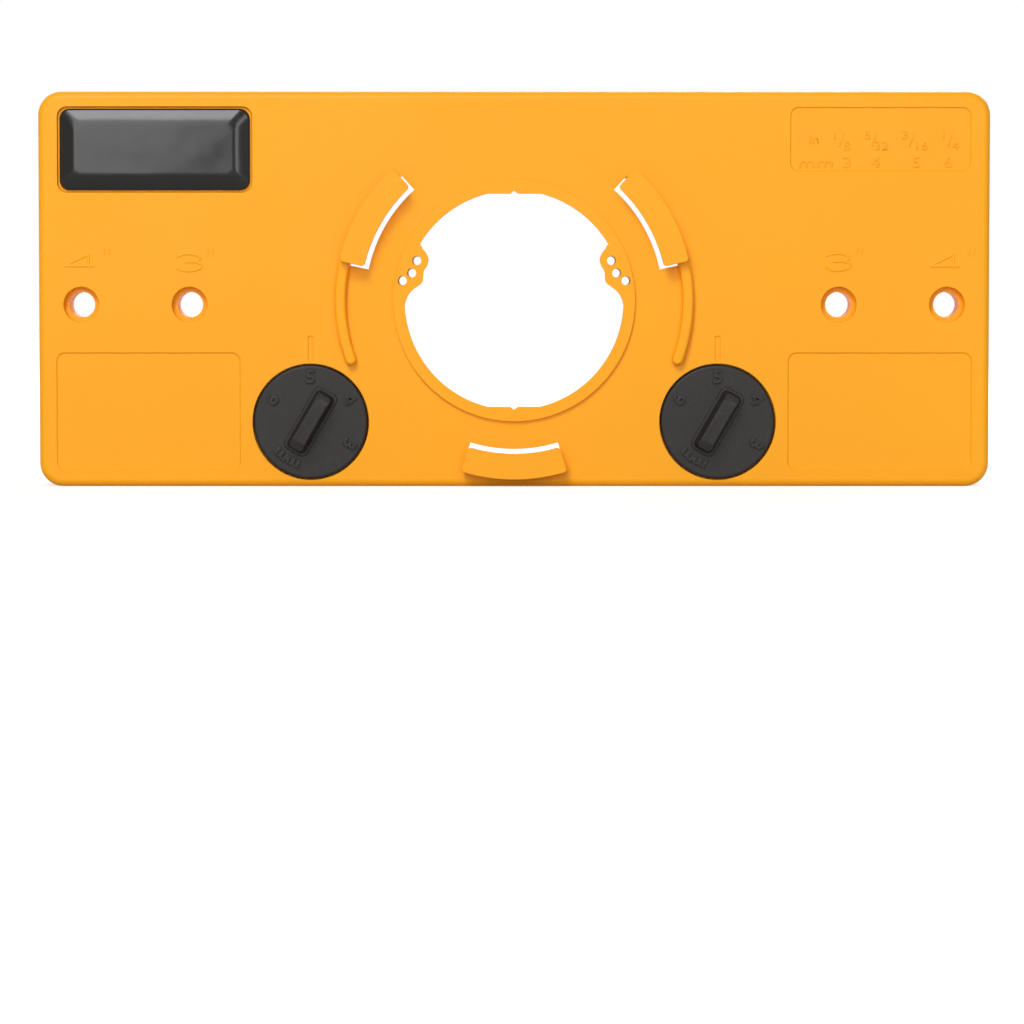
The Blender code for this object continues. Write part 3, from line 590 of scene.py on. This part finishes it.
def opening_cutter():
    """The bit carriage's opening: round, flat and notched at top and bottom, with an ear on each side."""
    slack = math.degrees(math.asin(OPENING_FLAT / OPENING))
    outline = []
    for up in (1, -1):
        outline += arc((0, 0), OPENING * up, -slack, slack, ROUND // 2)
        for across, deep in ((NOTCH_HALF_WIDTH, 0), (0, NOTCH_DEPTH), (-NOTCH_HALF_WIDTH, 0)):
            outline.append(Vector((across, OPENING_FLAT + deep)) * up)
    cutter = prism(outline, RIM - PAST, RING_TOP + PAST)
    ears = []
    for side in (-1, 1):
        edge = [Vector((side * point.x, point.y)) for point in smooth(EAR)]
        back = [(side * EAR_BACK, end[1]) for end in (EAR[-1], EAR[0])]
        ears.append(prism([*edge, *back], RIM - 2 * PAST, RING_TOP + 2 * PAST))
    combine(cutter, "DIFFERENCE", ears)
    shape = bmesh.new()
    shape.from_mesh(cutter.data)
    behind = [vertex for vertex in shape.verts if vertex.co.z < 0]
    bmesh.ops.scale(shape, vec=(OPENING_DRAFT, OPENING_DRAFT, 1), verts=behind)
    shape.to_mesh(cutter.data)
    shape.free()
    return cutter


def cup_ring():
    """The raised ring with its ears, made by itself so that its rims can be rounded."""
    ring = drum(RING, RIM, RING_TOP)
    combine(ring, "DIFFERENCE", [opening_cutter()])
    return soften(ring, SOFT_EDGE, at_height(RIM, RING_TOP), 3)


def hooks():
    """Each hook is made at the first one's place and turned to its own, so that all three round off alike."""
    made = []
    low, first = -FACE / 2, HOOKS[0][0]
    profile = ((HOOK_OUTER, low), (HOOK_OUTER, HOOK_TOP), (HOOK_INNER, HOOK_TOP), (HOOK_INNER, low))
    for middle, _, _ in HOOKS:
        hook = swept(profile, first, HOOK_HALF_ANGLE, HOOK_FILLET, HOOK_TOP, HOOK_CORNER)
        hook.data.transform(Matrix.Rotation(math.radians(middle - first), 4, "Z"))
        made.append(hook)
    return made


def hook_slots():
    """The slot under each hook, which shows as a bright line along its inner side."""
    made = []
    inner, outer = HOOK_INNER - 1.0, HOOK_OUTER - HOOK_WALL
    low, high = RIM - PAST, HOOK_UNDERSIDE
    profile = ((inner, low), (outer, low), (outer, high), (inner, high))
    for middle, before, after in HOOKS:
        made.append(swept(profile, middle + (after - before) / 2, HOOK_HALF_ANGLE + (after + before) / 2))
    return made


def ridge(side):
    """A raised arc that runs on from an upper hook and ends in a half round."""
    start = 90 + side * (60 + HOOK_HALF_ANGLE - 1)
    end = start + side * RIDGE_SWEEP
    outer = HOOK_OUTER + 0.15  # just clear of the hook's own outer face
    tip = direction(end) * (outer - RIDGE_WIDTH / 2)
    outline = (
        arc((0, 0), outer, start, end, 32)
        + arc(tip, RIDGE_WIDTH / 2, end, end + side * 180, 16)[1:-1]
        + arc((0, 0), outer - RIDGE_WIDTH, end, start, 32)
    )
    return prism(outline, -FACE / 2, RIDGE_TOP, 1.0, (RIDGE_TOP,))


BADGE_PLACE = (-84.25, 35.3)
BADGE_SEAT = (45.8, 20.2)
BADGE_CORNER = 2.3
PANEL_DEPTH = 0.35
PAD_FILLET = 0.4


def bosses():
    """The pad behind the badge, index bosses with theirs, and the pad and wavy collar around each dial."""
    badge_pad, index_pad, dial_pad, collar = -3.4, -4.0, -4.2, RIM + 1.5
    made = [
        centred_block(
            BADGE_SEAT, BADGE_PLACE, badge_pad, -FACE / 2, corner=BADGE_CORNER, fillet=PAD_FILLET,
            rounded_heights=(badge_pad,),
        )
    ]
    for place in INDEX_PLACES:
        made.append(drum(5.7, RIM, -FACE / 2, place, SMALL, fillet=SOFT_EDGE, rounded_heights=(RIM,)))
        made.append(drum(7.6, index_pad, -FACE / 2, place, MEDIUM, fillet=PAD_FILLET, rounded_heights=(index_pad,)))
    for place in DIAL_PLACES:
        waves = [
            Vector(place) + direction(angle) * (14.3 + 0.5 * math.cos(math.radians(angle * 6)))
            for angle in (360 * step / ROUND for step in range(ROUND))
        ]
        made.append(prism(waves, collar, -FACE / 2, 0.35, (collar,)))
        made.append(drum(15.9, dial_pad, -FACE / 2, place, fillet=PAD_FILLET, rounded_heights=(dial_pad,)))
    return made


def hole_cutters():
    """The hooks' slots, stepped index holes, the cams' bores and recesses, and the chamfered screw holes."""
    cuts = hook_slots()
    for place in INDEX_PLACES:
        cuts.append(drum(3.0, RIM - PAST, CLEAR, place, MEDIUM))
        cuts.append(drum(4.15, -2.6, CLEAR, place, MEDIUM))
        cuts.append(drum(4.12, -0.14, 0.26, place, MEDIUM, upper=4.52))
        cuts.append(drum(3.5, RIM - 0.5, RIM + 0.5, place, MEDIUM, upper=2.5))
    for place in DIAL_PLACES:
        cuts.append(drum(SKIRT + DIAL_PLAY, RIM - PAST, CLEAR, place))
        cuts.append(drum(DIAL + DIAL_PLAY, -2.5, CLEAR, place))
    for side in (-1, 1):
        for x, y in SCREW_HOLES:
            cuts.append(drum(SCREW_HOLE, RIM - PAST, RING_TOP + PAST, (side * x, y), 32))
            cuts.append(drum(1.04, 0.88, 1.12, (side * x, y), 32, upper=1.28))
    return cuts


def recess_cutters():
    """The badge's seat, the plain panels, the pointers, and the marks of the mould's pins and inserts."""
    cuts = [recess(BADGE_SEAT, BADGE_PLACE, 1.0, BADGE_CORNER, 0.25)]
    mark = -FACE + 0.12  # how far up into the face's back a mould mark reaches
    panels = (((43.3, 27.8), (-85.9, -26.1)), ((43.3, 27.8), (85.9, -26.1)), ((42.5, 15.1), (85.9, 37.7)))
    for size, centre in panels:
        cuts.append(recess(size, centre, PANEL_DEPTH, 1.9, 0.3))
    for x, y in DIAL_PLACES:
        cuts.append(recess((1.3, 6.0), (x, y + 17.2), 0.3, 0.3, 0.15))
    pin_marks = (
        (-93.9, -11.5), (-64.9, 8.7), (-95.5, 32.9), (-99.0, -32.2), (-37.4, 28.0),
        (92.5, -12.3), (64.7, 8.4), (94.4, 31.0), (97.5, -32.9), (37.1, 27.1), (30.2, -12.4),
    )
    for place in pin_marks:
        cuts.append(drum(3.8, -FACE - 1, mark, place, SMALL))
    for centre, size in (((82.0, -17.3), (6.4, 5.4)), ((56.8, -17.0), (8.4, 3.6))):
        cuts.append(centred_block(size, centre, -FACE - 1, mark))
    return cuts


def tool_cutters():
    """Cuts in the ribs that hold the pin, the drill bit and the hex key."""
    gap, behind, mouth = 0.3, RIM - PAST, RIM + 2.0
    drill_mouth, key_mouth = 5.4, 5.8  # how wide the ribs open where a finger lifts the tool out
    pin = (PIN_START + PIN_HEAD, PIN_ROW), (PIN_START + PIN_LENGTH, PIN_ROW)
    cuts = [
        lying_rod((*pin[0], PIN_HEIGHT), (*pin[1], PIN_HEIGHT), PIN_RADIUS + gap, MEDIUM),
        bar(*pin, 2 * (PIN_RADIUS + gap), behind, PIN_HEIGHT),
    ]
    drill = (DRILL_START, DRILL_ROW), (DRILL_START + DRILL_LENGTH, DRILL_ROW)
    cuts.append(bar(*drill, 2 * (DRILL_RADIUS + gap), behind, DRILL_HEIGHT + DRILL_RADIUS + gap))
    cuts.append(bar(*drill, drill_mouth, behind, mouth))
    floor = KEY_HEIGHT + KEY_FLATS / math.sqrt(3) + gap
    corner = KEY_START + KEY_LONG - KEY_FLATS / 2
    cuts.append(bar((KEY_START, KEY_ROW), (corner - KEY_BEND, KEY_ROW), KEY_FLATS + 2 * gap, behind, floor))
    apex = lattice_point(1, 0.75, 2.5).x
    cuts.append(bar((apex - CELL / 4, KEY_ROW), (apex, KEY_ROW), key_mouth, behind, mouth))
    row = lattice_point(1, 3.5, 2).y
    short = (corner, row - RIB), (corner, row + RIB)
    cuts.append(bar(*short, KEY_FLATS + 2 * gap, behind, floor))
    cuts.append(bar(*short, key_mouth, behind, mouth))
    return cuts


def make_plate(material):
    """Shell, ribs, ring, hooks and ridges joined, then everything that opens them cut at once."""
    plate = shell()
    combine(plate, "DIFFERENCE", [drum(RING_CORE, RIM - PAST, CLEAR)])
    lattice = rib_lattice()
    underside = combine(lattice[0], "UNION", lattice[1:] + bosses())
    combine(underside, "INTERSECT", [plate_block(RIM_WALL / 2, FENCE - PAST, PAST)])
    combine(underside, "DIFFERENCE", [drum(RING_CORE, RIM - PAST, CLEAR)])
    fence_spaces = fence_hollows()
    combine(plate, "UNION", [underside, cup_ring(), *hooks(), ridge(-1), ridge(1)])
    combine(plate, "DIFFERENCE", hole_cutters() + recess_cutters() + tool_cutters() + fence_spaces)
    return finish_piece(plate, "plate", material, "jig", "jig_plate")


# Raised figures


WIDE_FIGURES = {
    3: (
        ((-2.9, 1.3), (-1.5, 1.85), (0, 2.0), (1.6, 1.75), (2.6, 1.15), (2.3, 0.55), (1.2, 0.2), (-1.0, 0.1)),
        ((1.2, 0.15), (2.5, -0.2), (3.0, -0.85), (2.3, -1.55), (0.2, -2.0), (-1.6, -1.8), (-2.9, -1.2)),
    ),
    4: (((2.1, 1.4), (-3.4, -1.25)), ((-3.4, -1.3), (3.6, -1.3)), ((2.1, 1.4), (2.2, -1.8))),
}
WIDE_PLACES = ((3, -76.3, 8.9), (4, -102.0, 9.4), (3, 75.9, 9.0), (4, 100.95, 9.35))


def stroke(points, width=0.7, raised=0.2):
    """A rounded line that stands out of the front face."""
    curve = bpy.data.curves.new("stroke", "CURVE")
    curve.dimensions = "3D"
    path = points if len(points) == 2 else smooth(points, 4)
    spline = curve.splines.new("POLY")
    spline.points.add(len(path) - 1)
    for point, place in zip(spline.points, path):
        point.co = (place[0], place[1], 0, 1)
    curve.bevel_depth = width / 2
    curve.bevel_resolution = 4
    curve.use_fill_caps = True
    item = bpy.data.objects.new("stroke", curve)
    bpy.context.scene.collection.objects.link(item)
    mesh = evaluated(item)
    bpy.data.objects.remove(item)
    mesh.transform(Matrix.Diagonal((1, 1, 2 * raised / width, 1)))
    return mesh


def wide_figures():
    """The wide inch figures above the index holes, each with its pair of ticks."""
    meshes = []
    tick_foot, tick_head, lean = 10.6, 12.2, 0.1
    for number, x, y in WIDE_PLACES:
        for path in WIDE_FIGURES[number]:
            meshes.append(stroke([(x + dx, y + dy) for dx, dy in path]))
        tick = x + (5.0 if number == 3 else 6.35)
        for start in (tick - 0.55, tick + 0.55):
            meshes.append(stroke([(start + lean, tick_head), (start - lean, tick_foot)], 0.6, 0.15))
    return meshes


def figure(text, centre, height, width_share=1.0, turn=0.0, base=0.0, raised=0.3, weight=0.0):
    """Raised lettering centred on a plan point: its capitals this high, stretched sideways by width_share."""
    curve = bpy.data.curves.new("figure", "FONT")
    curve.body = text
    curve.align_x = "CENTER"
    curve.align_y = "CENTER"
    curve.fill_mode = "BOTH"
    curve.resolution_u = 3
    capital_share, sunk, rounding = 0.73, 0.2, 0.09
    curve.size = height / capital_share
    curve.extrude = (raised + sunk) / 2 - rounding
    curve.bevel_depth = rounding
    curve.bevel_resolution = 1
    curve.offset = weight - rounding
    words = bpy.data.objects.new("figure", curve)
    bpy.context.scene.collection.objects.link(words)
    mesh = evaluated(words)
    bpy.data.objects.remove(words)
    mesh.transform(
        Matrix.Translation((*centre, base + (raised - sunk) / 2))
        @ Matrix.Rotation(math.radians(turn), 4, "Z")
        @ Matrix.Diagonal((width_share, 1, 1, 1))
    )
    return mesh


def joined(meshes):
    """One loose object from several meshes, their doubled points merged."""
    shape = bmesh.new()
    for mesh in meshes:
        shape.from_mesh(mesh)
        bpy.data.meshes.remove(mesh)
    bmesh.ops.remove_doubles(shape, verts=shape.verts, dist=0.001)
    return loose(shape)


def make_plate_figures(material):
    """The wide figures, and in the top right panel the inch fractions over their millimetres."""
    panel = {"base": -PANEL_DEPTH, "raised": 0.24}
    meshes = wide_figures()
    meshes.append(figure("in", (70.2, 37.6), 2.1, 1.3, **panel))
    fractions = (("1", 75.1, "8", 78.0), ("5", 82.8, "32", 86.0), ("3", 91.6, "16", 95.3), ("1", 100.6, "4", 103.5))
    for over, over_x, under, under_x in fractions:
        meshes.append(figure(over, (over_x, 38.6), 2.1, 1.2, **panel))
        meshes.append(figure("/", (over_x + 1.5, 37.3), 2.9, 1.1, **panel))
        meshes.append(figure(under, (under_x, 36.1), 2.1, 1.2, **panel))
    meshes.append(figure("mm", (70.7, 32.1), 2.6, 1.55, **panel))
    for number, x in (("3", 78.0), ("4", 84.7), ("5", 94.3), ("6", 101.7)):
        meshes.append(figure(number, (x, 32.2), 2.7, 1.25, **panel))
    return finish_piece(joined(meshes), "plate_figures", material, "jig")


# The offset cams


def stop_outline(shrink=0.0):
    """The stop's flats, each as far from the axis as its setting needs, closed by a round back."""
    farthest, back = 11.0, 8.4 - shrink  # where a setting of 0 would stand, and the round back's radius
    flats = [(farthest - setting - shrink, 90 - turn) for setting, turn in SETTINGS]
    outline = []
    for (first, angle), (second, next_angle) in zip(flats, flats[1:]):
        normals = Matrix((direction(angle), direction(next_angle)))
        outline.append(normals.inverted() @ Vector((first, second)))
    start = flats[-1][1] + math.degrees(math.acos(flats[-1][0] / back))
    end = flats[0][1] + 360 - math.degrees(math.acos(flats[0][0] / back))
    return outline + arc((0, 0), back, start, end)


def make_cam(material, side, place):
    """Disc, grip, skirt with snap lugs and spokes, and the hollow stop."""
    overlap = DIAL_BACK + 1.2
    skirt_end = RIM + 0.2
    plinth_top, grip_top, grip_length, grip_width = 0.75, 6.0, 15.8, 5.3
    turn = Matrix.Rotation(math.radians(GRIP_TURN), 4, "Z")
    cam = drum(DIAL, DIAL_BACK, DIAL_TOP, fillet=0.65, rounded_heights=(DIAL_TOP,))
    plinth = centred_block(
        (16.6, 6.1), (0, 0), overlap, plinth_top, corner=1.5, fillet=0.3, rounded_heights=(plinth_top,)
    )
    grip = centred_block(
        (grip_length, grip_width), (0, 0), overlap, grip_top, corner=1.2,
        crest=(13.9 / grip_length, 3.3 / grip_width), fillet=0.35, rounded_heights=(grip_top,),
    )
    slopes = []
    for lean in (-1, 1):
        slope = block((-4, -4, 0), (4, 4, 4))
        place_slope = Matrix.Translation((lean * 6.1, 0, 5.55)) @ Matrix.Rotation(math.radians(lean * 26), 4, "Y")
        slope.data.transform(place_slope)
        slopes.append(slope)
    combine(grip, "DIFFERENCE", slopes)
    soften(grip, 0.15, lambda first, second: min(first.z, second.z) > 4.6, 2)
    for part in (plinth, grip):
        part.data.transform(turn)
    combine(cam, "UNION", [plinth, grip, drum(SKIRT, skirt_end, overlap)])
    combine(cam, "DIFFERENCE", [drum(SKIRT - SKIRT_WALL, skirt_end - PAST, DIAL_BACK)])
    soften(cam, 0.2, at_height(skirt_end), 2)
    spokes = [
        bar((0, 0), direction(angle) * (SKIRT - SKIRT_WALL), 0.9, DIAL_BACK - 8.0, overlap, 0.15)
        for angle in (32, 85, 110, 151, 198, 238, 275, 327)
    ]
    lug_low, lug_high = -11.8, -10.8
    profile = (
        (SKIRT - 0.6, lug_low), (SKIRT + 0.55, lug_low), (SKIRT + 0.95, lug_low + 0.4), (SKIRT + 0.95, lug_high),
        (SKIRT - 0.6, lug_high),
    )
    lugs = [
        swept(profile, middle, half_angle)
        for middle, half_angle in ((0, 12), (55, 13), (110, 12), (176, 5), (199, 13), (276, 12))
    ]
    stop = prism(stop_outline(), FENCE, overlap, 0.25, (FENCE,))
    combine(cam, "UNION", [stop, *spokes, *lugs])
    hollow = prism(stop_outline(1.35), FENCE - PAST, DIAL_BACK - 0.4)
    grip_hollow = centred_block((11.2, 2.2), (0, 0), DIAL_BACK - 0.8, 4.2)
    grip_hollow.data.transform(turn)
    combine(cam, "DIFFERENCE", [hollow, grip_hollow])
    numbers = []
    bold = {"base": DIAL_TOP, "raised": 0.6, "weight": 0.12}
    for number, clockwise in SETTINGS:
        centre = direction(90 - clockwise) * 10.4
        numbers.append(figure(str(number), centre, 3.2, 1.2, -clockwise, **bold))
    for letter, clockwise in (("m", 204), ("m", 222)):
        centre = direction(90 - clockwise) * 10.6
        numbers.append(figure(letter, centre, 3.0, 1.15, -clockwise, **bold))
    label = joined(numbers)
    placed = Matrix.Translation((*place, 0))
    body = "dial_" + side
    finish_piece(cam, "cam_" + side, material, body, "offset_cam_" + side, place=placed)
    finish_piece(label, "cam_figures_" + side, material, body, place=placed)


# Badge and tools


def make_badge(material):
    """A cast dome: low straight sides, a tight round edge, an even slope all round, then a nearly flat middle."""
    shape = bmesh.new()
    low, shoulder, length, width = -0.7, -0.45, 44.6, 19.0
    place = Matrix.Translation((0, 0, (low + shoulder) / 2)) @ Matrix.Diagonal((length, width, shoulder - low, 1))
    bmesh.ops.create_cube(shape, size=1, matrix=place)
    round_off(shape, BADGE_CORNER, upright, 12)
    top = max(shape.faces, key=lambda side: side.calc_center_median().z)
    rings, deepest = 30, 8.6
    inset_before, height_before = 0.0, shoulder
    for step in range(1, rings + 1):
        inset = deepest * (step / rings) ** 2
        steep = 1 - min(inset / 0.35, 1)
        slope = min(inset / 3.9, 1)
        height = (
            shoulder + 0.45 * math.sqrt(1 - steep ** 2) + 1.13 * (slope - slope ** 5 / 5) + 0.05 * inset / deepest
        )
        top = push_out(shape, top)
        bmesh.ops.translate(shape, vec=(0, 0, height - height_before), verts=top.verts)
        narrower = [(size - 2 * inset) / (size - 2 * inset_before) for size in (length, width)]
        bmesh.ops.scale(shape, vec=(*narrower, 1), verts=top.verts)
        inset_before, height_before = inset, height
    badge = loose(shape)
    placed = Matrix.Translation((*BADGE_PLACE, 0))
    finish_piece(badge, "badge_dome", material, "jig", "badge", 60, placed)


PIN_RADIUS, PIN_HEAD, PIN_LENGTH = 2.85, 2.3, 40.1
PIN_START, PIN_ROW, PIN_HEIGHT = -88.0, -11.1, -7.8
DRILL_RADIUS, DRILL_LENGTH, DRILL_FLUTES, DRILL_LEAD = 0.8, 47.8, 22.2, 9.1
DRILL_START, DRILL_ROW, DRILL_HEIGHT = 35.7, -11.0, -8.9
KEY_FLATS, KEY_LONG, KEY_SHORT, KEY_BEND = 3.0, 94.1, 22.2, 5.0
KEY_START, KEY_ROW, KEY_HEIGHT = -19.1, 30.2, -9.6


def make_index_pin(material):
    """Turned from a profile of (distance along, radius)."""
    profile = (
        (0, 0), (0, 3.3), (0.08, 3.52), (0.28, 3.72), (0.5, 3.8), (1.95, 3.8), (2.15, 3.74), (2.3, 3.55), (2.3, 3.05),
        (2.45, 2.9), (2.7, 2.85), (39.7, 2.85), (39.95, 2.75), (40.1, 2.5), (40.1, 0),
    )
    shape = bmesh.new()
    points = [shape.verts.new((along, 0, radius)) for along, radius in profile]
    edges = [shape.edges.new(pair) for pair in zip(points, points[1:])]
    bmesh.ops.spin(
        shape, geom=points + edges, axis=(1, 0, 0), cent=(0, 0, 0), angle=math.radians(360), steps=96, use_merge=True
    )
    bmesh.ops.remove_doubles(shape, verts=shape.verts, dist=0.001)
    pin = loose(shape)
    placed = Matrix.Translation((PIN_START, PIN_ROW, PIN_HEIGHT))
    finish_piece(pin, "locating_pin", material, "jig", "index_pin", 50, placed)


def make_drill_bit(material):
    """A fluted section turned along its lead, a ground point and a plain shank."""
    sides, steps = 48, 120
    section = []
    for step in range(sides):
        angle = 2 * math.pi * step / sides
        flute = ((1 + math.cos(2 * angle)) / 2) ** 1.6
        radius = DRILL_RADIUS * 0.97 * (1 - 0.52 * flute)
        section.append(Vector((0, math.cos(angle), math.sin(angle))) * radius)
    shape = bmesh.new()
    face = shape.faces.new([shape.verts.new(point) for point in section])
    bmesh.ops.spin(
        shape, geom=[face, *face.edges, *face.verts], axis=(1, 0, 0), cent=(0, 0, 0),
        dvec=(DRILL_FLUTES / steps, 0, 0), angle=2 * math.pi * DRILL_FLUTES / DRILL_LEAD, steps=steps,
    )
    tip = min(shape.faces, key=lambda side: side.calc_center_median().x)
    made = bmesh.ops.extrude_face_region(shape, geom=[tip, *tip.edges])["geom"]
    point = [part for part in made if isinstance(part, bmesh.types.BMVert)]
    bmesh.ops.translate(shape, vec=(-0.45, 0, 0), verts=point)
    bmesh.ops.scale(shape, vec=(1, 0.08, 0.08), verts=point)
    bmesh.ops.translate(shape, vec=(0.48, 0, 0), verts=shape.verts)
    drill = loose(shape)
    shank = lying_rod((DRILL_FLUTES - 0.7, 0, 0), (DRILL_LENGTH, 0, 0), DRILL_RADIUS)
    combine(drill, "UNION", [shank])
    placed = Matrix.Translation((DRILL_START, DRILL_ROW, DRILL_HEIGHT))
    finish_piece(drill, "drill", material, "jig", "drill_bit", 35, placed)


def make_hex_key(material):
    """One hexagon with softened corners, extruded from the ball end round the bend to the short end."""
    radius = KEY_FLATS / math.sqrt(3)
    hexagon = []
    for side in range(6):
        for lean in (-4, 4):
            angle = math.radians(60 * side + lean)
            reach = radius * math.cos(math.radians(30)) / math.cos(math.radians(26))
            hexagon.append(Vector((0, math.sin(angle), math.cos(angle))) * reach)
    shape = bmesh.new()
    face = shape.faces.new([shape.verts.new(point) for point in hexagon])
    reached, size = 0.0, 0.42
    bmesh.ops.scale(shape, vec=(1, size, size), verts=face.verts)

    def onward(face, run, share):
        nonlocal reached, size
        end = push_out(shape, face)
        bmesh.ops.translate(shape, vec=(run, 0, 0), verts=end.verts)
        bmesh.ops.scale(shape, vec=(1, share / size, share / size), verts=end.verts)
        reached, size = reached + run, share
        return end

    ball = (
        (0.18, 0.66), (0.28, 0.84), (0.36, 0.95), (0.4, 0.995), (0.4, 1.0), (0.4, 0.97), (0.38, 0.89), (0.3, 0.80),
        (0.25, 0.76), (0.45, 0.76), (0.3, 0.80), (0.35, 0.9), (0.35, 1.0),
    )
    for run, share in ball:
        face = onward(face, run, share)
    face = onward(face, KEY_LONG - KEY_FLATS / 2 - KEY_BEND - reached, 1.0)
    bmesh.ops.spin(
        shape, geom=[face, *face.edges, *face.verts], axis=(0, 0, 1), cent=(reached, -KEY_BEND, 0),
        angle=math.radians(-90), steps=24,
    )
    end = min(shape.faces, key=lambda side: side.calc_center_median().y)
    run = KEY_SHORT - KEY_FLATS / 2 - KEY_BEND
    for step, share in ((run - 0.25, 1.0), (0.25, 0.86)):
        end = push_out(shape, end)
        bmesh.ops.translate(shape, vec=(0, -step, 0), verts=end.verts)
        about = Matrix.Translation(-end.calc_center_median())
        bmesh.ops.scale(shape, vec=(share, 1, share), verts=end.verts, space=about)
    placed = Matrix.Translation((KEY_START, KEY_ROW, KEY_HEIGHT))
    finish_piece(loose(shape), "ball_end_key", material, "jig", "hex_key", 32, placed)


# Studio


def background_rays(nodes, links):
    """1 for the rays that show the background: the camera's, and those of gloss and glass."""
    path = nodes.new("ShaderNodeLightPath")
    seen = path.outputs["Is Camera Ray"]
    for kind in ("Is Glossy Ray", "Is Transmission Ray"):
        either = nodes.new("ShaderNodeMath")
        either.operation = "MAXIMUM"
        links.new(seen, either.inputs[0])
        links.new(path.outputs[kind], either.inputs[1])
        seen = either.outputs[0]
    return seen


def studio_white(name, colour, near_glow, far_glow):
    """White to the camera and in reflections, and a plain matte surface to the lamps."""
    material = bpy.data.materials.new(name)
    material.use_nodes = True
    nodes, links = material.node_tree.nodes, material.node_tree.links
    shader = nodes["Principled BSDF"]
    shader.inputs["Base Color"].default_value = (colour, colour, colour, 1)
    shader.inputs["Roughness"].default_value = 0.9
    shader.inputs["Specular IOR Level"].default_value = 0.1
    shader.inputs["Emission Color"].default_value = (1, 1, 1, 1)
    place = nodes.new("ShaderNodeTexCoord")
    away = nodes.new("ShaderNodeVectorMath")
    away.operation = "LENGTH"
    links.new(place.outputs["Object"], away.inputs[0])
    level = nodes.new("ShaderNodeMapRange")
    links.new(away.outputs["Value"], level.inputs["Value"])
    for socket, value in (("From Min", 0.25), ("From Max", 1.4), ("To Min", near_glow), ("To Max", far_glow)):
        level.inputs[socket].default_value = value
    glow = nodes.new("ShaderNodeMath")
    glow.operation = "MULTIPLY"
    links.new(background_rays(nodes, links), glow.inputs[0])
    links.new(level.outputs["Result"], glow.inputs[1])
    links.new(glow.outputs[0], shader.inputs["Emission Strength"])
    return material


def make_floor():
    shape = bmesh.new()
    bmesh.ops.create_grid(shape, x_segments=1, y_segments=1, size=3)
    floor = loose(shape)
    floor.name = "floor"
    floor.data.materials.append(studio_white("paper", 0.5, 0.68, 0.88))


def softbox(name, place, target, size, power):
    lamp = bpy.data.lights.new(name, "AREA")
    lamp.shape = "RECTANGLE"
    lamp.size, lamp.size_y = size
    lamp.energy = power
    stand = bpy.data.objects.new(name, lamp)
    stand.location = place
    stand.rotation_euler = (Vector(target) - Vector(place)).to_track_quat("-Z", "Y").to_euler()
    bpy.context.scene.collection.objects.link(stand)


def make_world():
    world = bpy.data.worlds.new("studio")
    world.use_nodes = True
    nodes, links = world.node_tree.nodes, world.node_tree.links
    background = nodes["Background"]
    background.inputs["Color"].default_value = (1, 1, 1, 1)
    level = nodes.new("ShaderNodeMapRange")
    links.new(background_rays(nodes, links), level.inputs["Value"])
    level.inputs["To Min"].default_value = 0.25
    level.inputs["To Max"].default_value = 1.0
    links.new(level.outputs["Result"], background.inputs["Strength"])
    bpy.context.scene.world = world


def make_camera():
    """Square to the front face, the jig in the upper half of the picture, as in the photograph's first view."""
    distance, pixel = 1.0, 0.000235  # in metres at the front face
    picture_width = 1024 * pixel
    middle = (PLATE_LOW + PLATE_HIGH) / 2
    lens = bpy.data.cameras.new("camera")
    lens.sensor_width = 36.0
    lens.lens = lens.sensor_width * distance / picture_width
    lens.clip_start, lens.clip_end = 0.01, 20.0
    camera = bpy.data.objects.new("camera", lens)
    camera.location = (-0.0005, FRONT_FACE - distance, middle.z)
    drop = 222.7 * pixel
    camera.rotation_euler = (math.radians(90) - math.atan(drop / distance), 0, 0)
    bpy.context.scene.collection.objects.link(camera)
    bpy.context.scene.camera = camera


def main():
    yellow = yellow_moulding()
    black = black_moulding()
    make_plate(yellow)
    make_plate_figures(yellow)
    for side, place in zip(("left", "right"), DIAL_PLACES):
        make_cam(black, side, place)
    make_badge(black_resin())
    make_index_pin(turned_steel())
    make_drill_bit(drill_steel())
    make_hex_key(nickel_plate())
    make_floor()
    make_world()
    softbox("key", (-0.3, -1.15, 0.98), (0, 0, 0.05), (0.5, 0.43), 9.3)
    softbox("front_left", (-0.355, -1.5, 0.455), (-0.08, 0, 0.08), (0.45, 0.84), 6.6)
    softbox("front_right", (0.42, -1.5, 0.3), (0, 0, 0.05), (0.3, 0.6), 3.1)
    softbox("rear", (0.35, 1.0, 0.8), (0, 0, 0.05), (0.8, 0.5), 10.5)
    make_camera()
    bpy.context.scene.view_settings.view_transform = "Standard"


main()
